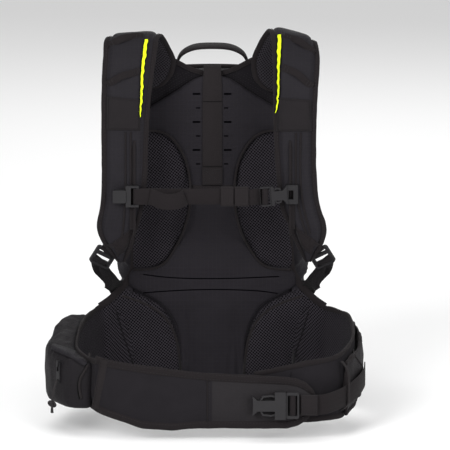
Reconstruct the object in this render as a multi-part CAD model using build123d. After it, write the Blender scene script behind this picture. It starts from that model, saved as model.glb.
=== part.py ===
from build123d import *
import math
import os

# Avalanche airbag backpack, in millimetres. +Z is up. The back panel faces -Y, towards the
# wearer, and the bag stands behind it in +Y. +X is the wearer's left. The origin is on the
# floor, in the middle of the bag's width, on the plane that parts the bag from its back panel.
# Soft goods are plain closed solids of the true size. Hardware has its working shape.

OUT = "parts"
FAR = 600.0

# Bag
BAG_H = 423.0
BAG_HALF_BASE = 110.0
BAG_HALF_TOP = 122.0
BAG_BACK_Y = 3.0
BAG_DEPTH_BASE = 128.0
BAG_DEPTH_TOP = 96.0
BAG_CORNER_R = 28.0
BAG_WALL = 3.0
BAG_BACK_WALL = 6.0
# The bound hem along the foot of the back wall
HEM_HALF = 96.0
HEM_Y = -4.0
HEM_H = 7.0
BOOT_H = 22.0
LID_Z = 374.0
SEAM_X = 80.0
SEAM_GAP = 0.1

# Back panel layers, along Y
SHEET_Y = (1.0, 2.6)
YOKE_Y = (-1.6, 0.4)
PAD_BACK_Y = -2.2
CENTRE_PAD_Y = -15.0
MESH_PAD_Y = -12.0

# Shoulder straps and chest strap
STRAP_T = 12.0
RAIL_X = 97.0
RAIL_Y = -96.4
RAIL_R = 1.5
RAIL_Z = (237.0, 347.0)
CHEST_Z = 283.0
CHEST_Y = -102.0
CHEST_TILT = 5.0
CHEST_JOIN_X = 73.4
TRIGGER_X = 110.0
TRIGGER_Y = -88.0
TRIGGER_Z = 312.0

# Webbing
WEB_T = 1.4
WEB_20 = 20.0
WEB_25 = 25.0
RUN_GAP = 0.3

# Hip belt
BELT_T = 8.0
BELT_BAND_Y = -235.0
BELT_Z = 46.0
BUCKLE_Y = -245.2
BUCKLE_JOIN_X = 90.8
POCKET_T = 8.0


# ---------------------------------------------------------------- building blocks


def save(shape, name):
    """Writes one node's solids to its STEP file."""
    export_step(shape, os.path.join(OUT, name + ".step"))


def block(x0, x1, y0, y1, z0, z1):
    """A box between two corners."""
    return Pos((x0 + x1) / 2, (y0 + y1) / 2, (z0 + z1) / 2) * Box(x1 - x0, y1 - y0, z1 - z0)


def rounded_block(x0, x1, y0, y1, z0, z1, radius, axis=Axis.Y):
    """A box with its edges along one axis rounded."""
    body = block(x0, x1, y0, y1, z0, z1)
    return fillet(body.edges().filter_by(axis), radius)


def rod(start, end, radius):
    """A round bar between two points."""
    line = Vector(*end) - Vector(*start)
    plane = Plane(origin=start, z_dir=line)
    return plane * Cylinder(radius, line.length, align=(Align.CENTER, Align.CENTER, Align.MIN))


def prism(corners, reach):
    """A polygon of 3D corners, extruded along a vector."""
    face = Face(Wire.make_polygon([Vector(*c) for c in corners], close=True))
    return Solid.extrude(face, Vector(*reach))


def front_slab(points, y0, y1):
    """An outline of (x, z) points between two depths."""
    return prism([(x, y0, z) for x, z in points], (0, y1 - y0, 0))


def side_slab(points, x0, x1):
    """An outline of (y, z) points between two widths."""
    return prism([(x0, y, z) for y, z in points], (x1 - x0, 0, 0))


def plan_slab(points, z0, z1):
    """An outline of (x, y) points between two heights."""
    return prism([(x, y, z0) for x, y in points], (0, 0, z1 - z0))


def flat_slab(points, thick):
    """An outline of (x, y) points, centred on its own plane."""
    return prism([(x, y, -thick / 2) for x, y in points], (0, 0, thick))


def offset_path(path, distance):
    """A 2D path moved sideways to its left, with its corners mitred."""
    normals = []
    for (ax, ay), (bx, by) in zip(path, path[1:]):
        length = math.hypot(bx - ax, by - ay)
        normals.append((-(by - ay) / length, (bx - ax) / length))
    moved = []
    for i, (x, y) in enumerate(path):
        before = normals[max(i - 1, 0)]
        after = normals[min(i, len(normals) - 1)]
        sx, sy = before[0] + after[0], before[1] + after[1]
        share = 2.0 * distance / (sx * sx + sy * sy)
        moved.append((x + sx * share, y + sy * share))
    return moved


def strip(path, thick, lift=0.0):
    """The closed outline of a band of even thickness along a 2D path."""
    left = offset_path(path, lift + thick / 2)
    right = offset_path(path, lift - thick / 2)
    return left + right[::-1]


def polyhedron(rings):
    """A closed solid through stacked rings of equally many points."""
    faces = [Face(Wire.make_polygon(ring, close=True)) for ring in (rings[0], rings[-1])]
    for low, high in zip(rings, rings[1:]):
        for i in range(len(low)):
            j = (i + 1) % len(low)
            faces.append(Face(Wire.make_polygon([low[i], low[j], high[j], high[i]], close=True)))
    return Solid(Shell(faces))


def rounded_ring(half, y0, y1, z, radius, steps=4):
    """Points round a rectangle with rounded corners, at one height."""
    points = []
    corners = [(half - radius, y1 - radius, 0), (radius - half, y1 - radius, 90)]
    corners += [(radius - half, y0 + radius, 180), (half - radius, y0 + radius, 270)]
    for cx, cy, start in corners:
        for k in range(steps + 1):
            turn = math.radians(start + 90 * k / steps)
            points.append(Vector(cx + radius * math.cos(turn), cy + radius * math.sin(turn), z))
    return points


def mirror_x(shape):
    """The same shape on the other side of the middle plane."""
    return mirror(shape, about=Plane.YZ)


def both_sides():
    """Each side's name with the move that puts a left piece there."""
    return (("left", lambda shape: shape), ("right", mirror_x))


def group(*shapes):
    """Separate solids that share one node."""
    return Compound([solid for shape in shapes for solid in shape.solids()])


# ---------------------------------------------------------------- bag


def bag_depth(z):
    """How deep the bag is at a height."""
    return BAG_DEPTH_BASE + (BAG_DEPTH_TOP - BAG_DEPTH_BASE) * z / BAG_H


def bag_half(z):
    """Half the bag's width at a height."""
    return BAG_HALF_BASE + (BAG_HALF_TOP - BAG_HALF_BASE) * z / BAG_H


def bag_block(inset):
    """The bag's outer shape with a rounded rim above and below, shrunk by inset on every side."""
    rings = []
    back = BAG_BACK_Y + (BAG_BACK_WALL if inset else 0.0)
    for z, tuck in ((0, 5), (8, 0), (BAG_H - 20, 0), (BAG_H - 6, 5), (BAG_H, 17)):
        height = min(max(z, inset), BAG_H - inset)
        y1 = BAG_BACK_Y + bag_depth(z) - inset - tuck
        half = bag_half(z) - inset - tuck
        rings.append(rounded_ring(half, back + tuck * 0.3, y1, height, BAG_CORNER_R - inset))
    return polyhedron(rings)


def make_bag():
    """Five sewn panels round the load space, and the flat back wall."""
    shell = bag_block(0.0) - bag_block(BAG_WALL)
    seam_y = BAG_BACK_Y + BAG_BACK_WALL
    low, high = BOOT_H + SEAM_GAP, LID_Z - SEAM_GAP
    front = seam_y + SEAM_GAP
    side = SEAM_X + SEAM_GAP
    tools = {
        "bag_back_wall": block(-FAR, FAR, -FAR, seam_y, -FAR, FAR),
        "bag_base": block(-FAR, FAR, front, FAR, -FAR, BOOT_H),
        "bag_top": block(-FAR, FAR, front, FAR, LID_Z, FAR),
        "bag_side_right": block(-FAR, -side, front, FAR, low, high),
        "bag_side_left": block(side, FAR, front, FAR, low, high),
        "bag_front_panel": block(-SEAM_X, SEAM_X, front, FAR, low, high),
    }
    hem = block(-HEM_HALF, HEM_HALF, HEM_Y, BAG_BACK_Y + BAG_BACK_WALL, 0, HEM_H)
    for name, tool in tools.items():
        panel = shell & tool
        save(panel + hem if name == "bag_back_wall" else panel, name)


TOOL_Z = (26.0, 318.0)
TOOL_HALF = 64.0
TOOL_DEPTH = 34.0
TOOL_WALL = 2.5


def front_y(z):
    """Where the bag's sloping outer wall stands at a height."""
    return BAG_BACK_Y + bag_depth(z)


def tool_block(inset):
    """The outer pocket's shape, shrunk by inset."""
    rings = []
    low, high = TOOL_Z
    for z, tuck in ((low, 7.0), (low + 8.0, 0.0), (high - 8.0, 6.0), (high, 14.0)):
        height = min(max(z, low + inset), high - inset)
        y0 = front_y(z) + 0.4 + inset
        y1 = front_y(z) + TOOL_DEPTH - tuck - inset
        rings.append(rounded_ring(TOOL_HALF - inset - tuck / 2, y0, y1, height, 9.0 - inset))
    return polyhedron(rings)


def make_tool_pocket():
    """The outer pocket for shovel and probe, a closed pouch on the front panel."""
    save(tool_block(0.0) - tool_block(TOOL_WALL), "tool_pocket")


ZIP_W = 7.0
ZIP_T = 1.6
SLIDER_Z = 205.0
SLIDER_L = 15.0
PIN_LIFT = 5.2


def front_plane(lift):
    """A plane lifted off the bag's outer wall: X towards the wearer's right, Y up the slope."""
    up = Vector(0, front_y(BAG_H) - front_y(0.0), BAG_H).normalized()
    out = Vector(-1, 0, 0).cross(up)
    return Plane(origin=Vector(0, front_y(0.0), 0) + out * lift, x_dir=(-1, 0, 0), z_dir=out)


def make_main_zip():
    """The clamshell zip's arch of coil and tape on the panel seam, with its slider and puller."""
    half, low, high, bend = SEAM_X - 4.0, 40.0, 360.0, 24.0
    middle = (low + high) / 2
    outer = Pos(0, middle) * RectangleRounded(2 * half, high - low, bend)
    inner = Pos(0, middle) * RectangleRounded(2 * (half - ZIP_W), high - low - 2 * ZIP_W, bend - ZIP_W)
    ring = outer - inner - Pos(0, low) * Rectangle(4 * half, 2 * bend)
    save(extrude(front_plane(0.4) * ring, amount=ZIP_T), "main_zip_track")

    on_track = front_plane(0.4 + ZIP_T + RUN_GAP) * Pos(ZIP_W / 2 - half, SLIDER_Z)
    save(on_track * zip_slider(), "main_zip_slider")
    save(on_track * Pos(0, 1.5, PIN_LIFT) * zip_puller(), "main_zip_puller")


def zip_slider(sideways=False):
    """A slider body with a bridge over its top for the puller's pin."""
    body = Pos(0, 0, 1.5) * (Box(SLIDER_L, 9.0, 3.0) if sideways else Box(9.0, SLIDER_L, 3.0))
    bridge = Pos(0, 1.5, 4.9) * Box(3.2, 7.5, 4.6)
    return body + bridge - Pos(0, 1.5, PIN_LIFT) * Rot(0, 90, 0) * Cylinder(1.1, 12.0)


def zip_puller():
    """A puller hanging down its own -Y from a pin along X."""
    pin = Rot(0, 90, 0) * Cylinder(0.9, 7.6)
    arms = [Pos(x, -5.0, 0) * Box(1.6, 12.0, 1.8) for x in (-3.0, 3.0)]
    tab = Pos(0, -17.0, 0) * Box(7.6, 14.0, 1.8)
    eye = Pos(0, -21.0, 0) * Cylinder(1.5, 5.0)
    return pin + arms[0] + arms[1] + tab - eye


def make_side_straps():
    """Two compression straps a side, each with its ladder buckle."""
    bands = []
    buckles = []
    for z in (120.0, 300.0):
        x = bag_half(z + 13) + 0.8
        bands.append(block(x, x + WEB_T, 40.0, 84.0, z - 10, z + 10))
        frame = block(x + WEB_T + 0.2, x + WEB_T + 4.2, 50.0, 72.0, z - 13, z + 13)
        for y in (56.0, 66.0):
            frame -= block(x - 5, x + 20, y - 2.6, y + 2.6, z - 10.4, z + 10.4)
        buckles.append(frame)
    save(group(*bands, *[mirror_x(b) for b in bands]), "compression_straps")
    save(group(*buckles, *[mirror_x(b) for b in buckles]), "compression_buckles")


HAUL_Y = 22.0
HAUL_Z = BAG_H + 3.0


def make_haul_loop():
    """The carrying loop of flat webbing that swings at the bag's top edge."""
    right = [(44, HAUL_Z), (43, HAUL_Z + 10), (35, HAUL_Z + 20), (20, HAUL_Z + 26), (0, HAUL_Z + 27.5)]
    arc = right + [(-x, z) for x, z in reversed(right[:-1])]
    loop = front_slab(strip(arc, 2.4), HAUL_Y - 20, HAUL_Y + 20)
    outline = [(-2.2, 0), (2.2, 0), (12.5, 14), (12.5, 34), (-12.5, 34), (-12.5, 14)]
    save(loop & side_slab([(HAUL_Y + y, HAUL_Z + z) for y, z in outline], -60, 60), "haul_loop")
    tabs = [block(x - 9, x + 9, HAUL_Y - 9, HAUL_Y + 9, BAG_H + 0.2, BAG_H + 1.6) for x in (-44, 44)]
    save(group(*tabs), "haul_loop_tabs")


# ---------------------------------------------------------------- airbag system

CARTRIDGE_R = 25.0
CARTRIDGE_X = 58.0
CARTRIDGE_Y = 48.0
NECK_Z = 236.0
HEAD_Z = (240.0, 280.0)
LEVER_Z = HEAD_Z[0] + 26.0
LEVER_Y = CARTRIDGE_Y - 11.0
JET_Z = 262.0


def make_airbag_system():
    """Gas cartridge, firing head with its lever and pin, jet pump, folded airbag and cable."""
    x, y = CARTRIDGE_X, CARTRIDGE_Y
    bottle = Pos(x, y, 30.0) * Cylinder(CARTRIDGE_R, 180.0, align=(Align.CENTER, Align.CENTER, Align.MIN))
    bottle = fillet(bottle.edges(), 14.0)
    neck = rod((x, y, 205.0), (x, y, NECK_Z), 9.0)
    thread = rod((x, y, NECK_Z - 0.5), (x, y, NECK_Z + 18), 7.4)
    save(bottle + neck + thread, "gas_cartridge")

    head = rounded_block(x - 17, x + 17, y - 17, y + 17, *HEAD_Z, 6.0, Axis.Z)
    head -= rod((x, y, HEAD_Z[0] - 2), (x, y, NECK_Z + 19), 7.5)
    head -= block(x - 3.5, x + 3.5, y - 30, y - 3, HEAD_Z[0] + 17, HEAD_Z[1] + 1)
    head -= rod((x - 20, LEVER_Y, LEVER_Z), (x + 20, LEVER_Y, LEVER_Z), 2.0)
    save(head, "firing_head")
    save(rod((x - 15, LEVER_Y, LEVER_Z), (x + 15, LEVER_Y, LEVER_Z), 1.9), "lever_pin")
    lever = block(x - 3.0, x + 3.0, LEVER_Y - 3.5, LEVER_Y + 3.5, LEVER_Z - 4, HEAD_Z[1] + 22)
    lever -= rod((x - 20, LEVER_Y, LEVER_Z), (x + 20, LEVER_Y, LEVER_Z), 2.0)
    save(lever, "release_lever")

    jet = rod((x - 17.2, y, JET_Z), (x - 72, y, JET_Z), 18.0)
    jet -= rod((x - 40, y, JET_Z), (x - 80, y, JET_Z), 15.0)
    jet -= rod((x - 10, y, JET_Z), (x - 50, y, JET_Z), 4.0)
    save(jet, "jet_pump")
    save(rod((x - 40.3, y, JET_Z), (x - 41.8, y, JET_Z), 14.6), "check_valve_flap")
    clamp = rod((x - 52, y, JET_Z), (x - 60, y, JET_Z), 20.4) - rod((x - 50, y, JET_Z), (x - 80, y, JET_Z), 18.3)
    save(clamp, "hose_clamp")

    bag = rounded_block(-96, 96, 16, 76, 318, 396, 18.0, Axis.Y)
    bag += rounded_block(-64, -20, 26, 70, 238, 330, 8.0, Axis.Y)
    save(bag, "folded_airbag")
    cable = front_slab([(x - 2, 293), (x + 40, 281), (x + 40, 285), (x - 2, 297)], 12.0, 16.0)
    save(cable, "release_cable")


def make_trigger():
    """The pull handle stowed in the wearer's left strap."""
    x, y, z = TRIGGER_X, TRIGGER_Y, TRIGGER_Z
    grip = rounded_block(x - 11, x + 11, y - 2.8, y + 2.8, z - 28, z + 16, 7.0)
    grip -= rounded_block(x - 6, x + 6, y - 6, y + 6, z - 21, z + 4, 5.0)
    grip += rod((x, y, z + 15), (x, y, z + 38), 1.2)
    save(grip, "trigger_handle")


# ---------------------------------------------------------------- back panel


def mirrored_outline(right):
    """A closed outline from its right half, given from the top downwards."""
    return right + [(-x, z) for x, z in reversed(right)]


def make_frame():
    """The stiff sheet and two stays that carry the load to the hips."""
    outline = mirrored_outline([(88, 404), (92, 250), (96, 30)])
    stay = front_slab([(66, 34), (78, 34), (78, 350), (66, 350)], -1.9, 0.7)
    save(front_slab(outline, *SHEET_Y), "frame_sheet")
    save(group(stay, mirror_x(stay)), "frame_stays")


def make_back_pads():
    """The centre pad, and the four mesh pads let into its sides."""
    centre = [(18, 415), (80, 374), (88, 356), (66, 352), (46, 334), (32, 304), (27, 276)]
    centre += [(32, 236), (42, 205), (56, 182), (74, 174), (98, 173), (106, 164), (106, 154)]
    centre += [(88, 143.5), (68, 132), (55, 119), (46, 104), (41, 84), (37, 50), (37, 10)]
    save(front_slab(mirrored_outline(centre), CENTRE_PAD_Y, PAD_BACK_Y), "centre_pad")
    upper = [(87, 353.5), (68, 350), (48, 332), (34, 303), (29, 276), (34, 237), (44, 206), (58, 184)]
    upper += [(75, 176.5), (97, 175.5), (93, 230), (90, 300)]
    lower = [(106, 151), (89, 141), (70, 130), (57.5, 117.5), (48.5, 103), (43, 83), (39, 50)]
    lower += [(39, 10), (104, 10), (107, 80)]
    for side, turn in both_sides():
        save(turn(front_slab(upper, MESH_PAD_Y, PAD_BACK_Y)), f"upper_mesh_pad_{side}")
        save(turn(front_slab(lower, MESH_PAD_Y, PAD_BACK_Y)), f"lumbar_mesh_pad_{side}")


def make_yoke():
    """The sliding harness plate, tucked behind the centre pad, and its length strap."""
    right = [(14, 427), (30, 424), (47, 438), (62, 446), (106, 442), (110, 398), (84, 356)]
    right += [(50, 352), (42, 340), (42, 262)]
    save(front_slab(mirrored_outline(right), *YOKE_Y), "yoke_plate")
    y = CENTRE_PAD_Y - 1.2
    path = [(y, 286), (y, 416), (y + 4, 422), (-6, 424), (-2.7, 421), (-2.7, 417)]
    strap = side_slab(strip(path, WEB_T), -WEB_25 / 2, WEB_25 / 2)
    tab = block(-WEB_25 / 2, WEB_25 / 2, y - 2.2, y, 286, 308)
    save(strap + tab, "length_strap")


# ---------------------------------------------------------------- shoulder straps

CREST_Y = -38.0
STRAP_PATH = [(-8.4, 400), (-8.4, 436), (-14, 456), (-25, 468), (-40, 474), (-56, 469), (-70, 455)]
STRAP_PATH += [(-81, 431), (-87, 396), (-88, 352), (-88, 282), (-85, 240), (-79, 210), (-74, 196)]


def make_straps():
    """Padded straps with the trigger's pocket, and the rails for the chest strap."""
    strap = side_slab(strip(STRAP_PATH, STRAP_T), 40, 155)
    rear_outline = [(52, 402), (46, 412), (48, 440), (58, 466), (68, 484), (126, 484), (122, 455)]
    rear_outline += [(112, 430), (110, 405), (100, 398), (64, 398)]
    front_outline = [(66, 484), (70, 466), (76, 380), (81, 293), (90, 261), (98, 226), (107, 203)]
    front_outline += [(113, 194), (119, 195), (133, 229), (143.5, 247), (141, 290), (138, 330)]
    front_outline += [(137, 450), (126, 484)]
    rear = strap & front_slab(rear_outline, CREST_Y, 10)
    front = strap & front_slab(front_outline, -120, CREST_Y)
    pad = rear + front
    pocket = block(96.5, 123.5, TRIGGER_Y - 3.3, TRIGGER_Y + 3.3, 262, 354)
    rail = rod((RAIL_X, RAIL_Y, RAIL_Z[0]), (RAIL_X, RAIL_Y, RAIL_Z[1]), RAIL_R)
    for z0, reach in ((RAIL_Z[1] - 1, -94.2), (RAIL_Z[0] - 6, -92.0)):
        rail += block(RAIL_X - 3.5, RAIL_X + 3.5, RAIL_Y - 1.6, reach, z0, z0 + 7)
    for side, turn in both_sides():
        body = pad - pocket if side == "left" else pad
        save(turn(body), f"shoulder_strap_{side}")
    save(group(rail, mirror_x(rail)), "chest_strap_rails")


# Each ladder lock lies in a plane of its own: X along the bars, Y down the webbing.
LOCK_ORIGIN = (136.8, -70.6, 201.0)
LOCK_RUN = (0.52, 0.10, -0.85)
LOCK_L = 25.0
LOCK_T = 4.6
ANCHOR = (120.0, -0.5, 148.0)


def leaning_plane(origin, run, across):
    """A plane whose Y axis runs down a band and whose X axis lies across it."""
    down = Vector(*run).normalized()
    side = Vector(*across)
    side = (side - down * side.dot(down)).normalized()
    return Plane(origin=origin, x_dir=side, z_dir=side.cross(down))


def make_ladder_locks():
    """Ladder locks at the straps' ends, the webbing that hangs from them, and its anchors."""
    plane = leaning_plane(LOCK_ORIGIN, LOCK_RUN, (0.80, -0.35, 0.45))
    plate = Box(WEB_20 + 8, LOCK_L, LOCK_T)
    plate = fillet(plate.edges().filter_by(Axis.Z), 3.5)
    for y, width in ((-8.0, 4.4), (0.8, 4.6), (7.6, 3.6)):
        plate -= Pos(0, y, 0) * Box(WEB_20 + 0.8, width, LOCK_T * 2)
    top = (plane * Pos(0, LOCK_L / 2 + 3.6, 0)).position
    bottom = Vector(*ANCHOR) + Vector(0, -5.0, 0)
    run = bottom - top
    middle = (top + bottom) / 2
    across = (0.9, 0, 0.2)
    web = leaning_plane(middle, run, across) * Box(WEB_20, run.length - 2.0, WEB_T)
    anchor = block(ANCHOR[0] - 12, ANCHOR[0] + 12, -2.4, 2.4, ANCHOR[2] - 10, ANCHOR[2] + 14)
    for side, turn in both_sides():
        save(turn(plane * plate), f"ladder_lock_{side}")
        save(turn(web), f"adjuster_webbing_{side}")
    save(group(anchor, mirror_x(anchor)), "adjuster_anchors")


# ---------------------------------------------------------------- buckles


def facing(x, y, z, tilt=0.0):
    """A plane that faces the wearer's side: X to the wearer's left, Y up, Z outwards."""
    lean = math.radians(tilt)
    return Plane(origin=(x, y, z), x_dir=(math.cos(lean), 0, math.sin(lean)), z_dir=(0, -1, 0))


def buckle_socket(width, mouth, length, waist, foot, thick):
    """A side-release socket. Its mouth is at X 0 and faces +X; its foot is at -length."""
    wall = 1.6
    tube = Pos(-mouth / 2, 0, 0) * Box(mouth, width, thick)
    outline = [(0.5 - mouth, waist / 2), (6 - length, waist / 2), (-length, foot / 2), (0.8 - length, 0)]
    outline += [(-length, -foot / 2), (6 - length, -waist / 2), (0.5 - mouth, -waist / 2)]
    hollow_l = length - 5.5
    hollow = Pos(1 - hollow_l / 2, 0, 0) * Box(hollow_l + 2, width - 2 * wall, thick - 2 * wall)
    return tube + flat_slab(outline, thick) - hollow


def buckle_arm(reach, root, swell, tip, thick):
    """One springy arm of a plug, bowed outwards between its root and its tip."""
    path = [(1.0, root), (-0.25 * reach, root + 0.4), (-0.55 * reach, swell), (-0.85 * reach, swell - 1.0)]
    path += [(-reach, tip)]
    return flat_slab(strip(path, 2.2), thick)


def buckle_plug(width, frame_l, reach, swell, thick, web):
    """The plug: a ladder frame at +X, and a tongue and two bowed arms that reach into the socket."""
    frame = Pos(frame_l / 2 + 0.3, 0, 0) * Box(frame_l, width, 4.0)
    frame = fillet(frame.edges().filter_by(Axis.Z), 2.5)
    inner = thick - 2 * 1.6 - 0.6
    first = frame_l * 0.30 - 0.2
    for x in (first, first + 7.4):
        frame -= Pos(x, 0, 0) * Box(4.4, web + 0.6, 10.0)
    for lift in (-2.0, 2.0):
        frame -= Pos(first + 3.7, 0, lift) * Box(3.6, web + 0.6, 2.0)
    tongue = Pos(0.7 - reach * 0.3, 0, 0) * Box(reach * 0.6 + 1.4, 4.0, inner)
    arm = buckle_arm(reach, width / 2 - 6.5, swell, 2.8, inner)
    return frame + tongue + arm + mirror(arm, about=Plane.XZ)


# ---------------------------------------------------------------- chest strap

CHEST_FRAME_L = 13.6


def make_chest_strap():
    """The slider with its whistle, the webbing, the buckle's plug and the socket's rail clip."""
    z, y = CHEST_Z, CHEST_Y
    groove = rod((RAIL_X, RAIL_Y, z - 40), (RAIL_X, RAIL_Y, z + 40), RAIL_R + 0.25)
    groove += block(RAIL_X - 1.1, RAIL_X + 1.1, RAIL_Y, RAIL_Y + 6, z - 40, z + 40)

    frame = block(-108, -91.6, y - 1.3, y + 7.5, z + 10.8, z + 13.4)
    frame += block(-108, -91.6, y - 1.3, y + 7.5, z - 13.4, z - 10.8)
    frame += block(-94.6, -91.6, y - 1.1, y + 1.1, z - 12, z + 12)
    frame += block(-108, -101.4, y - 1.3, y + 3.6, z - 12, z + 12)
    whistle = rounded_block(-124, -107.5, y - 3.0, y + 6.6, z - 8, z + 8, 2.0)
    whistle -= block(-122, -112, y - 1.6, y + 2.4, z + 3, z + 20)
    save(frame + whistle - mirror_x(groove), "chest_slider_whistle")

    plane = facing(CHEST_JOIN_X, y, z + 0.8, CHEST_TILT) * Rot(0, 0, 180)
    socket = plane * buckle_socket(24.6, 3.6, 20.5, 12.0, 24.0, 7.0)
    clip = block(91.6, 106.6, y - 1.3, y + 7.5, z + 8.0, z + 14.6)
    clip += block(91.6, 106.6, y - 1.3, y + 7.5, z - 9.4, z - 3.4)
    clip += block(101.0, 106.6, y - 1.3, y + 3.6, z - 8, z + 13)
    clip += block(91.6, 95.0, y - 1.3, y + 1.6, z - 8, z + 13)
    save(socket + clip - groove, "chest_buckle_socket")
    plug = buckle_plug(25.0, CHEST_FRAME_L, 13.2, 9.2, 7.0, WEB_20)
    save(plane * plug, "chest_buckle_plug")

    bar = CHEST_FRAME_L * 0.30 + 3.5
    gap = RUN_GAP + WEB_T / 2
    wrap = [(24, -1.0), (17, -3.2), (bar + 2.9, -3.2), (bar + 2.9, 2.2), (bar - 2.9, 2.2)]
    wrap += [(bar - 2.9, -5.0), (24, -5.0)]
    band = prism([(a, -WEB_20 / 2, b) for a, b in strip(wrap, WEB_T)], (0, WEB_20, 0))
    path = [(-70, y + 2.6), (-96.4, y + 2.6), (-96.4, y - 1.1 - gap), (-70, y - 1.1 - gap)]
    path += [(-62, y + 1.0), (CHEST_JOIN_X - 22.0, y + 1.0)]
    webbing = plan_slab(strip(path, WEB_T), z - WEB_20 / 2, z + WEB_20 / 2)
    save(webbing + plane * band, "chest_webbing")

    keepers = []
    for x0, x1 in ((11.0, 25.0), (29.0, 42.0)):
        outer = block(x0, x1, y - 1.6, y + 3.6, z - 11.6, z + 11.6)
        keepers.append(outer - block(x0 - 1, x1 + 1, y - 0.8, y + 2.8, z - 10.6, z + 10.6))
    save(group(*keepers), "chest_strap_keepers")


# ---------------------------------------------------------------- hip belt

WING_RIGHT = [(-113, -7), (-144, -24), (-160, -68), (-167, -115), (-168, -157), (-156, -193), (-143, -215)]
WING_LEFT = [(113, -7), (142, -24), (163, -56), (172, -100), (171, -150), (158, -194), (130, -215)]
WING_LEFT += [(90, -220)]
POUCH_RIGHT = [(-150, -33), (-178, -52), (-197, -92), (-205, -135), (-205, -162), (-176, -206)]
POUCH_RIGHT += [(-160, -206), (-150, -203)]
BAND = [(-141.4, -216.8), (-118, -230), (-90, BELT_BAND_Y), (129, BELT_BAND_Y)]
WING_TOP = [(3, 132), (-25, 131), (-66, 124), (-110, 116), (-150, 105), (-192, 99), (-230, 99)]
WING_FOOT = {
    "right": [(-230, 42), (-192, 42), (-150, 37), (-110, 32), (-60, 24), (3, 20)],
    "left": [(-230, 22), (-190, 20), (-150, 30), (-110, 34), (-60, 24), (3, 20)],
}
BAND_FACE = [(-150, 104), (-126, 100), (-50, 90), (-7, 85), (93, 80), (112, 74), (126, 62), (131, 50)]
BAND_FACE += [(127, 34), (112, 22), (93, 15), (-15, 15), (-50, 12), (-86, 15), (-122, 27), (-150, 40)]


def wing_profile(side, trim=0.0):
    """One wing's side outline as a solid across the width, trimmed above and below."""
    outline = [(y, z - trim) for y, z in WING_TOP] + [(y, z + trim) for y, z in WING_FOOT[side]]
    return side_slab(outline, -FAR, FAR)


def make_belt():
    """The wings, their zipped pockets and the band that crosses the front."""
    band = plan_slab(strip(BAND, BELT_T), 0, 200) & front_slab(BAND_FACE, -FAR, 0)
    save(band, "belt_front_band")
    for side, path in (("right", WING_RIGHT), ("left", WING_LEFT)):
        save(plan_slab(strip(path, BELT_T), 0, 200) & wing_profile(side), f"belt_wing_{side}")
    lift = BELT_T / 2 + 0.3 + POCKET_T / 2
    flat = plan_slab(strip(WING_LEFT[1:6], POCKET_T, lift), 0, 200)
    save(flat & wing_profile("left", 4.0), "hip_pocket_left")
    pouch = plan_slab(POUCH_RIGHT + WING_RIGHT[5:0:-1], 0, 200)
    pouch -= plan_slab(strip(WING_RIGHT, BELT_T + 0.6), -1, 201)
    save(pouch & wing_profile("right", 4.0), "hip_pocket_right")


HIP_ZIP_Z = 88.0
HIP_SLIDER = 10.0


def hip_plane(lift):
    """A plane on the right pocket's front facet: X along the zip towards the buckle, Y up."""
    (ax, ay), (bx, by) = POUCH_RIGHT[4], POUCH_RIGHT[5]
    along = Vector(bx - ax, by - ay, 0).normalized()
    out = Vector(along.Y, -along.X, 0)
    middle = Vector((ax + bx) / 2, (ay + by) / 2, HIP_ZIP_Z)
    return Plane(origin=middle + out * lift, x_dir=along, z_dir=out)


def make_hip_zip():
    """The right hip pocket's zip: its track, slider, and puller."""
    save(hip_plane(0.2) * Pos(0, 0, 0.6) * Box(50.0, 6.0, 1.2), "hip_zip_track")
    on_track = hip_plane(1.4 + RUN_GAP) * Pos(HIP_SLIDER, 0, 0)
    save(on_track * zip_slider(sideways=True), "hip_zip_slider")
    save(on_track * Pos(0, 1.5, PIN_LIFT) * zip_puller(), "hip_zip_puller")


BELT_FRAME_L = 16.2


def make_belt_buckle():
    """The belt buckle's socket on the band, its plug, and the adjusting webbing."""
    z, y = BELT_Z, BUCKLE_Y
    plane = facing(BUCKLE_JOIN_X, y, z)
    save(plane * buckle_socket(34.5, 13.5, 41.0, 13.5, 25.0, 9.0), "belt_buckle_socket")
    save(plane * buckle_plug(33.0, BELT_FRAME_L, 33.0, 12.4, 9.0, WEB_25), "belt_buckle_plug")
    face_y = BELT_BAND_Y - BELT_T / 2
    save(block(30, 84, face_y - 1.4, face_y - 0.2, z - 10, z + 10), "belt_buckle_tab")

    bar_x = BUCKLE_JOIN_X + BELT_FRAME_L * 0.30 + 3.8
    path = [(130.0, y + 3.2), (bar_x + 2.9, y + 3.2), (bar_x + 2.9, y - 2.2), (bar_x - 2.9, y - 2.2)]
    path += [(bar_x - 2.9, y + 4.9), (132.0, y + 4.9), (141, y + 7.6), (163.5, y + 32), (181, y + 61)]
    path += [(187.6, y + 96), (188.0, y + 118)]
    middle = [(-260, z), (-236, z), (-215, z + 4), (-160, z + 15), (-120, z + 21)]
    low = [(py, pz - WEB_25 / 2) for py, pz in middle]
    high = [(py, pz + WEB_25 / 2) for py, pz in reversed(middle)]
    webbing = plan_slab(strip(path, WEB_T), 0, 120) & side_slab(low + high, 80, 220)
    stop = block(109.6, 130.0, y + 0.6, y + 3.2, z - WEB_25 / 2, z + WEB_25 / 2)
    save(webbing + stop, "belt_webbing")


def main():
    """Builds every node."""
    os.makedirs(OUT, exist_ok=True)
    make_bag()
    make_tool_pocket()
    make_main_zip()
    make_side_straps()
    make_haul_loop()
    make_airbag_system()
    make_trigger()
    make_frame()
    make_back_pads()
    make_yoke()
    make_straps()
    make_ladder_locks()
    make_chest_strap()
    make_belt()
    make_hip_zip()
    make_belt_buckle()


main()
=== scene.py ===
import math

import bmesh
import bpy
import numpy as np
from mathutils import Matrix, Vector, noise
from mathutils.bvhtree import BVHTree


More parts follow.
